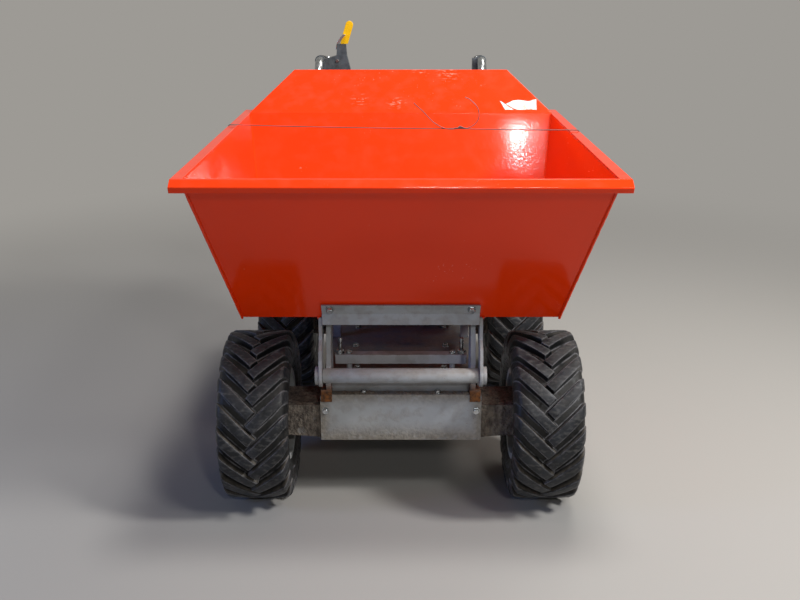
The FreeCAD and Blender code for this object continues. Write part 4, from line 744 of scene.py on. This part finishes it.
def build_label(material):
    """Blank remains of a torn white film on the guard plate."""
    foot_y, foot_z = GUARD_FOOT
    away = Vector((0, -1, GUARD_LEAN)).normalized() * FILM_DEPTH
    mesh = bmesh.new()
    for outline in LABEL:
        ring = []
        for (x0, z0), (x1, z1) in zip(outline, outline[1:] + outline[:1]):
            for share in (0.0, 0.33, 0.67):
                x = x0 + (x1 - x0) * share
                z = z0 + (z1 - z0) * share
                z += noise.noise(Vector((x, z, 0)) * 0.43) * 1.4
                place = Vector((x, foot_y + (z - foot_z) * GUARD_LEAN, z)) * MM
                ring.append(mesh.verts.new(place + away))
        face = mesh.faces.new(ring)
        face.normal_update()
        if face.normal.z < 0:
            face.normal_flip()
    bmesh.ops.triangulate(mesh, faces=mesh.faces)
    piece("torn_label", mesh, material, "skip", smooth=False)


# Dried mud


MUD_BEDS = (
    # x from, x to, y from, y to, base z, depth in mm
    (-186, 186, -509, -489, 282, 9), (-160, 160, -482, -405, 282, 5),
    (-258, -195, -497, -393, 250, 8), (195, 258, -497, -393, 250, 8),
    (-258, -195, 183, 287, 250, 8), (195, 258, 183, 287, 250, 8),
)
MUD_CELL = 3.0
MUD_FADE_X, MUD_FADE_Y = 30, 7
MUD_SINK = -0.6


def mud_bed(mesh, x0, x1, y0, y1, z, depth):
    """Uneven layer of dried mud that thins out towards its edges."""
    columns = int((x1 - x0) / MUD_CELL)
    lines = int((y1 - y0) / MUD_CELL)
    rows = []
    for line in range(lines + 1):
        row = []
        for column in range(columns + 1):
            x = x0 + (x1 - x0) * column / columns
            y = y0 + (y1 - y0) * line / lines
            edge = min(1, min(x - x0, x1 - x) / MUD_FADE_X)
            edge *= min(1, min(y - y0, y1 - y) / MUD_FADE_Y)
            lumps = 0.5 + 0.7 * noise.fractal(Vector((x, y, z)) * 0.045, 1.0, 2.0, 4)
            crumbs = 0.25 * noise.noise(Vector((x, y, z)) * 0.35)
            height = depth * (edge ** 0.5 * (lumps + crumbs) - 0.28)
            row.append(Vector((x, y, z + max(height, MUD_SINK))) * MM)
        rows.append(row)
    grid(mesh, rows)


def build_mud(material):
    """Dried mud on the cover's ledge, the deck and the tops of the axle cases."""
    mesh = bmesh.new()
    for bed in MUD_BEDS:
        mud_bed(mesh, *bed)
    clean(mesh)
    piece("dried_mud", mesh, material, "chassis")


# Grips


GRIP_RADIUS = 18 * MM
GRIP_BORE = 14.2 * MM
GRIP_FALL = atan2(20, 213)
GRIP_STEPS = 32
RIBS = 14
RIB_DEPTH = 1.2 * MM


def build_grips(material):
    """Ribbed rubber grips in place of the CAD sleeves."""
    low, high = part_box("grips")
    aside, down = GRIP_RADIUS * sin(GRIP_FALL), GRIP_RADIUS * cos(GRIP_FALL)
    start = Vector((high.x - GRIP_RADIUS, low.y + aside, high.z - down))
    end = Vector((start.x, high.y - aside, low.z + down))
    along = (end - start).normalized()
    up = Vector((1, 0, 0)).cross(along)
    length = (end - start).length
    profile = [(0.0, GRIP_BORE), (0.0, GRIP_RADIUS), (9 * MM, GRIP_RADIUS)]
    for rib in range(RIBS):
        place = 14 * MM + rib * (length - 30 * MM) / RIBS
        profile += [(place, GRIP_RADIUS - RIB_DEPTH), (place + 1 * MM, GRIP_RADIUS),
                    (place + 5 * MM, GRIP_RADIUS), (place + 6 * MM, GRIP_RADIUS - RIB_DEPTH)]
    profile += [(length - 6 * MM, GRIP_RADIUS), (length - 1.5 * MM, GRIP_RADIUS - 2 * MM),
                (length, GRIP_RADIUS - 6 * MM), (length, 0.0)]
    mesh = bmesh.new()
    for side in (-1, 1):
        rows = []
        for step in range(GRIP_STEPS):
            angle = 2 * pi * step / GRIP_STEPS
            out = Vector((cos(angle), 0, 0)) + up * sin(angle)
            row = [start + along * reach + out * size for reach, size in profile]
            rows.append([Vector((side * point.x, point.y, point.z)) for point in row])
        grid(mesh, rows, closed=True)
    clean(mesh)
    made = piece("ribbed_grips", mesh, material, "chassis")
    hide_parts("grips")


# Feet of the uprights


FOOT = (
    # y, z of the folded strip's outline, mm
    (-512, 264), (-507, 264), (-507, 284), (-504, 287), (-478, 287), (-478, 292), (-505, 292),
    (-509, 293), (-512, 296),
)
FOOT_ENDS = (164, 190)


def build_feet(material):
    """Folded strips that hold the uprights' feet to the deck."""
    mesh = bmesh.new()
    for side in (-1, 1):
        prism(mesh, *([(side * x * MM, y * MM, z * MM) for y, z in FOOT] for x in FOOT_ENDS))
    clean(mesh)
    made = piece("upright_feet", mesh, material, "chassis", smooth=False)
    round_edges(made, ROUNDING)


# Tipping lever


LEVER_HALF = 0.29  # half the lever's width, as a share of its whole reach to the side
END_STEPS = 14


def build_tip_lever(material):
    """Flat lever with a rounded end, in place of the CAD strip."""
    low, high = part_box("tip_lever")
    half = (high.x - low.x) * LEVER_HALF
    lean = Vector((high.x - low.x - 2 * half, high.z - low.z - half))
    end = Vector((low.x + half, low.z)) + lean
    start = atan2(lean.y, lean.x) + pi / 2
    outline = [(low.x, low.z)]
    for step in range(END_STEPS + 1):
        turn = start - pi * step / END_STEPS
        outline.append(end + half * Vector((cos(turn), sin(turn))))
    outline.append((low.x + 2 * half, low.z))
    mesh = bmesh.new()
    prism(mesh, *([(x, y, z) for x, z in outline] for y in (low.y, high.y)))
    clean(mesh)
    made = piece("rounded_tip_lever", mesh, material, "chassis")
    round_edges(made, 1.2)
    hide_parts("tip_lever")


# Stage


FLOOR_REACH = 30
CAMERA_PLACE = (-0.002, -2.56, 1.237)
LAMPS = (
    # name, place, aim, width in m, share of the key lamp's power, colour
    ("key_lamp", (0.4, -0.75, 4.4), (0.0, 0.0, 0.6), 0.6, 0.68, "#FFFFFF"),
    ("ceiling_lamp", (0.83, -1.5, 4.2), (0.0, 0.0, 0.6), 0.14, 0.07, "#FFFFFF"),
    ("high_lamp", (1.7, -2.3, 3.3), (0.0, -0.4, 0.4), 0.6, 0.27, "#FFFFFF"),
    ("right_lamp", (2.5, -1.3, 2.6), (0.3, -0.4, 0.3), 0.5, 0.8, "#FFFFFF"),
    ("far_lamp", (0.95, -4.4, 2.7), (0.0, 0.0, 0.6), 0.3, 0.24, "#FFFFFF"),
    ("rear_lamp", (1.2, 1.6, 3.6), (0.0, 0.2, 0.5), 1.4, 0.35, "#FFFAF2"),
    ("left_lamp", (-3.2, -1.6, 1.5), (-0.3, -0.4, 0.3), 0.9, 0.22, "#8FB2FF"),
)


def seen_rays(tree):
    """Rays that see the surroundings as they are, next to those that only carry light."""
    rays = add(tree, "ShaderNodeLightPath").outputs
    mirrored = both(tree, rays["Is Glossy Ray"], rays["Is Transmission Ray"], "MAXIMUM")
    return both(tree, rays["Is Camera Ray"], mirrored, "MAXIMUM")


def pale_floor(name, code):
    """Matt pale floor that keeps the shadow near the machine and evens out away from it."""
    material, tree = new_material(name, Roughness=0.75, Base_Color=code)
    reach = add(tree, "ShaderNodeVectorMath", {0: where(tree)}, operation="LENGTH")
    far = ramp(tree, reach.outputs["Value"], 1.1, 3.4, interpolation_type="SMOOTHSTEP")
    even = add(tree, "ShaderNodeEmission", {"Color": code, "Strength": 1.0})
    mixed = add(tree, "ShaderNodeMixShader",
                {0: both(tree, far, seen_rays(tree)),
                 1: tree.nodes["Principled BSDF"].outputs[0], 2: even.outputs[0]})
    tree.links.new(mixed.outputs[0], tree.nodes["Material Output"].inputs["Surface"])
    return material


def build_stage(stage):
    """Pale floor and surroundings, soft lamps and the camera."""
    mesh = bmesh.new()
    bmesh.ops.create_grid(mesh, x_segments=1, y_segments=1, size=FLOOR_REACH)
    data = bpy.data.meshes.new("floor")
    mesh.to_mesh(data)
    mesh.free()
    data.materials.append(pale_floor("pale_floor", stage.floor_colour))
    floor = placed("floor", data)

    world = bpy.data.worlds.new("pale_room")
    bpy.context.scene.world = world
    world.use_nodes = True
    tree = world.node_tree
    tree.nodes.clear()
    light = add(tree, "ShaderNodeBackground",
                {"Color": linear("#F2F4F8"), "Strength": stage.room_light})
    shown = add(tree, "ShaderNodeBackground", {"Color": stage.floor_colour, "Strength": 1.0})
    mixed = add(tree, "ShaderNodeMixShader",
                {0: seen_rays(tree), 1: light.outputs[0], 2: shown.outputs[0]})
    add(tree, "ShaderNodeOutputWorld", {"Surface": mixed.outputs[0]})

    for name, place, aim, width, share, colour in LAMPS:
        lamp = bpy.data.lights.new(name, "AREA")
        lamp.size = width
        lamp.energy = share * stage.key_power
        lamp.color = linear(colour)[:3]
        made = placed(name, lamp)
        made.location = place
        made.rotation_euler = (Vector(aim) - Vector(place)).to_track_quat("-Z", "Y").to_euler()

    camera = bpy.data.cameras.new("camera")
    camera.lens = stage.lens
    camera.sensor_width = 36
    made = placed("camera", camera)
    made.location = CAMERA_PLACE
    made.rotation_euler = (pi / 2 - stage.tilt, 0, 0)
    bpy.context.scene.camera = made
    bpy.context.scene.view_settings.view_transform = "Standard"


# Finishes of the CAD pieces


def round_edges(obj, width_mm):
    """Small rounding of the sharp edges of a piece, by modifiers alone."""
    weld = obj.modifiers.new("join_facets", "WELD")
    weld.merge_threshold = 0.02 * MM
    edge = obj.modifiers.new("rounding", "BEVEL")
    edge.width = width_mm * MM
    edge.segments = 2
    edge.limit_method = "ANGLE"
    edge.angle_limit = radians(35)
    edge.harden_normals = True
    edge.use_clamp_overlap = True


UNROUNDED = ("tyre_", "engine_cylinder")
ROUNDING = 0.8  # width of rounded edges, mm
ROUNDINGS = {"skip_front": 1.0, "guard_plate": 1.0}
# The stop bar's paler enamel is painted light, and the deck's darker enamel is painted shade.
NODE_FINISHES = {"pivot_uprights": "rusty_flats", "front_cover": "cover_paint",
                 "chassis_deck": "deck_painted_shade", "pivot_pin": "frame_paint",
                 "stop_bar": "bar_painted_light", "lever_housings": "worn_casting"}
FINISHES = {
    # slot, or part of one with its own look: how to make its finish
    "orange_paint": lambda looks: gloss_enamel("gloss_enamel_orange", looks.skip_colour),
    "frame_paint": lambda looks: frame_enamel("satin_enamel_grey", looks.frame_colour, 0.15),
    "axle_paint": lambda looks: frame_enamel("muddy_enamel_grey", looks.frame_colour, 0.95,
                                             None, (1, 1, 0.45), ("#857B6F", "#4E4640")),
    "cover_paint": lambda looks: frame_enamel("dirt_framed_enamel", looks.frame_colour, 0.1,
                                              (193, 162, 282, 34)),
    # painted light: the stop bar has the frame's grey enamel, drawn paler to stand in for light
    # that does not reach it
    "bar_painted_light": lambda looks: frame_enamel("satin_enamel_painted_light", linear("#D2D4D8"), 0.05),
    "worn_casting": lambda looks: cast_metal("worn_dark_casting", linear("#5E6367"), 0.3, 0.38),
    # painted shade: the deck has the frame's grey enamel, drawn darker for the shade under the
    # skip and tinted blue-grey against the red light the skip bounces onto it
    "deck_painted_shade": lambda looks: frame_enamel("dark_enamel_painted_shade", linear("#5A656C"), 0.2),
    "zinc_steel": lambda looks: zinc_plate("zinc_plate"),
    "handlebar_plating": lambda looks: zinc_plate("bright_zinc_tube"),
    "rim_paint": lambda looks: plain_enamel("silver_enamel", linear("#B4B6B5"), 0.4),
    "hub_steel": lambda looks: cast_metal("oily_cast_iron", linear("#4A4845"), 0.0, 0.5),
    "rubber": lambda looks: moulded("matt_rubber", linear("#17171A"), 0.62, 1.6, 0.08),
    "engine_alloy": lambda looks: cast_metal("cast_aluminium", linear("#A9AAA8"), 0.8, 0.42),
    "black_plastic": lambda looks: moulded("moulded_nylon", linear("#1A1B1D"), 0.45, 1.2, 0.05),
    "engine_black": lambda looks: plain_enamel("black_enamel", linear("#1B1B1C"), 0.35),
    "exhaust_steel": lambda looks: hot_steel("heated_steel"),
    "yellow_paint": lambda looks: plain_enamel("yellow_enamel", linear("#FFC60A"), 0.35),
    "tyre_rubber": lambda looks: tyre_rubber("dusty_tyre_rubber", "#08090A", "#6C655C"),
    "rusty_flats": lambda looks: rusty_foot("enamel_with_rusty_foot", looks.frame_colour),
    "dry_mud": lambda looks: dry_mud("dried_mud"),
    "label_film": lambda looks: label_film("torn_label_film"),
    "wire_steel": lambda looks: plain_enamel("black_annealed_wire", linear("#5A5652"), 0.45),
}
MADE = {}


def finish(slot):
    """The finish of a slot, made when it is first asked for."""
    if slot not in MADE:
        MADE[slot] = FINISHES[slot](bpy.context.scene.dumper_finishes)
    return MADE[slot]


# Sizes and colours that a user would change


class DumperFinishes(bpy.types.PropertyGroup):
    """Colours of the paints."""

    skip_colour: FloatVectorProperty(
        name="Skip enamel", description="Gloss enamel of the skip", subtype="COLOR", size=4,
        default=linear("#F43A05"))
    frame_colour: FloatVectorProperty(
        name="Frame enamel", description="Satin enamel of the chassis", subtype="COLOR", size=4,
        default=linear("#A8ABAE"))


class DumperSizes(bpy.types.PropertyGroup):
    """Sizes of what is added to the CAD model."""

    lugs: IntProperty(
        name="Lugs", description="Lugs in each row of a tyre", default=20, min=8, max=40)
    lug_width: FloatProperty(
        name="Lug width", description="Width of a lug across its length", default=25 * MM,
        unit="LENGTH")
    lug_angle: FloatProperty(
        name="Lug angle", description="Slant of a lug from the tyre's axis",
        default=radians(45), subtype="ANGLE")
    wire_radius: FloatProperty(
        name="Wire radius", description="Radius of the tie wire across the skip",
        default=1.2 * MM, unit="LENGTH")
    weld_radius: FloatProperty(
        name="Weld radius", description="Radius of the weld beads in the skip",
        default=3.0 * MM, unit="LENGTH")


class DumperStage(bpy.types.PropertyGroup):
    """Floor, lamps and camera."""

    key_power: FloatProperty(
        name="Key lamp", description="Power of the lamp above the machine's front",
        default=113.0, unit="POWER")
    room_light: FloatProperty(
        name="Room light", description="Strength of the light from all sides", default=0.05)
    floor_colour: FloatVectorProperty(
        name="Floor", description="Colour of the floor and of the surroundings",
        subtype="COLOR", size=4, default=linear("#9D9A95"))
    lens: FloatProperty(
        name="Lens", description="Focal length of the camera in mm", default=42.525)
    tilt: FloatProperty(
        name="Tilt", description="How far the camera looks down", default=radians(19.25),
        subtype="ANGLE")


# Operators


class Task:
    """What the operators share: they finish or raise."""

    bl_options = {"REGISTER", "UNDO"}


class DUMPER_OT_finishes(Task, bpy.types.Operator):
    """Give every CAD piece its finish and round its sharp edges"""

    bl_idname = "dumper.finishes"
    bl_label = "Finishes"

    def execute(self, context):
        for row in frame["record"]["subparts"]:
            node = NODES[row["node"]]
            material = finish(NODE_FINISHES.get(row["node"], row["material_slot"]))
            if not node.material_slots:
                raise RuntimeError(row["node"] + " has no material slot")
            for slot in node.material_slots:
                slot.material = material
            if not row["node"].startswith(UNROUNDED):
                round_edges(node, ROUNDINGS.get(row["node"], ROUNDING))
        return {"FINISHED"}


class DUMPER_OT_tyres(Task, bpy.types.Operator):
    """Build the four lugged tyres"""

    bl_idname = "dumper.tyres"
    bl_label = "Tyres"

    def execute(self, context):
        for corner, sign in CORNERS:
            build_tyre(corner, sign, finish("tyre_rubber"), context.scene.dumper_sizes)
        return {"FINISHED"}


class DUMPER_OT_wheel_nuts(Task, bpy.types.Operator):
    """Build the wheel nuts and valves"""

    bl_idname = "dumper.wheel_nuts"
    bl_label = "Wheel nuts and valves"

    def execute(self, context):
        for corner, sign in CORNERS:
            build_wheel_nuts(corner, sign, finish("zinc_steel"))
        return {"FINISHED"}


class DUMPER_OT_fasteners(Task, bpy.types.Operator):
    """Build the bolts and nuts of skip, frame and engine"""

    bl_idname = "dumper.fasteners"
    bl_label = "Fasteners"

    def execute(self, context):
        for body in FASTENERS:
            build_fasteners(body, finish("zinc_steel"))
        return {"FINISHED"}


class DUMPER_OT_welds(Task, bpy.types.Operator):
    """Build the weld beads of skip and frame"""

    bl_idname = "dumper.welds"
    bl_label = "Welds"

    def execute(self, context):
        for body, slot in (("skip", "orange_paint"), ("chassis", "frame_paint")):
            build_welds(body, context.scene.dumper_sizes, finish(slot))
        return {"FINISHED"}


class DUMPER_OT_wire(Task, bpy.types.Operator):
    """Build the tie wire across the skip"""

    bl_idname = "dumper.wire"
    bl_label = "Tie wire"

    def execute(self, context):
        build_wire(context.scene.dumper_sizes, finish("wire_steel"))
        return {"FINISHED"}


class DUMPER_OT_label(Task, bpy.types.Operator):
    """Build the torn blank film on the guard plate"""

    bl_idname = "dumper.label"
    bl_label = "Torn film"

    def execute(self, context):
        build_label(finish("label_film"))
        return {"FINISHED"}


class DUMPER_OT_mud(Task, bpy.types.Operator):
    """Build the dried mud on ledge, deck and axle cases"""

    bl_idname = "dumper.mud"
    bl_label = "Dried mud"

    def execute(self, context):
        build_mud(finish("dry_mud"))
        return {"FINISHED"}


class DUMPER_OT_grips(Task, bpy.types.Operator):
    """Build the ribbed grips"""

    bl_idname = "dumper.grips"
    bl_label = "Grips"

    def execute(self, context):
        build_grips(finish("rubber"))
        return {"FINISHED"}


class DUMPER_OT_feet(Task, bpy.types.Operator):
    """Build the folded feet of the uprights"""

    bl_idname = "dumper.feet"
    bl_label = "Feet of the uprights"

    def execute(self, context):
        build_feet(finish("rusty_flats"))
        return {"FINISHED"}


class DUMPER_OT_tip_lever(Task, bpy.types.Operator):
    """Build the tipping lever"""

    bl_idname = "dumper.tip_lever"
    bl_label = "Tipping lever"

    def execute(self, context):
        build_tip_lever(finish("yellow_paint"))
        return {"FINISHED"}


class DUMPER_OT_stage(Task, bpy.types.Operator):
    """Build floor, surroundings, lamps and camera"""

    bl_idname = "dumper.stage"
    bl_label = "Stage"

    def execute(self, context):
        build_stage(context.scene.dumper_stage)
        return {"FINISHED"}


STEPS = (DUMPER_OT_finishes, DUMPER_OT_tyres, DUMPER_OT_wheel_nuts, DUMPER_OT_fasteners,
         DUMPER_OT_welds, DUMPER_OT_wire, DUMPER_OT_label, DUMPER_OT_mud, DUMPER_OT_grips,
         DUMPER_OT_feet, DUMPER_OT_tip_lever, DUMPER_OT_stage)
GROUPS = (("dumper_finishes", DumperFinishes), ("dumper_sizes", DumperSizes),
          ("dumper_stage", DumperStage))


class DUMPER_PT_panel(bpy.types.Panel):
    """Sizes, colours and steps of the dumper's looks"""

    bl_idname = "DUMPER_PT_panel"
    bl_label = "Site dumper"
    bl_space_type = "VIEW_3D"
    bl_region_type = "UI"
    bl_category = "Dumper"

    def draw(self, context):
        for name, group in GROUPS:
            for setting in group.__annotations__:
                self.layout.prop(getattr(context.scene, name), setting)
        for step in STEPS:
            self.layout.operator(step.bl_idname)


def register():
    """Add the settings, operators and panel."""
    for name, group in GROUPS:
        bpy.utils.register_class(group)
        setattr(bpy.types.Scene, name, PointerProperty(type=group))
    for made in (*STEPS, DUMPER_PT_panel):
        bpy.utils.register_class(made)


def unregister():
    """Take them away again."""
    for made in (DUMPER_PT_panel, *reversed(STEPS)):
        bpy.utils.unregister_class(made)
    for name, group in reversed(GROUPS):
        delattr(bpy.types.Scene, name)
        bpy.utils.unregister_class(group)


def main():
    """Build everything in order."""
    register()
    for step in STEPS:
        group, name = step.bl_idname.split(".")
        getattr(getattr(bpy.ops, group), name)()


if __name__ == "__main__":
    main()
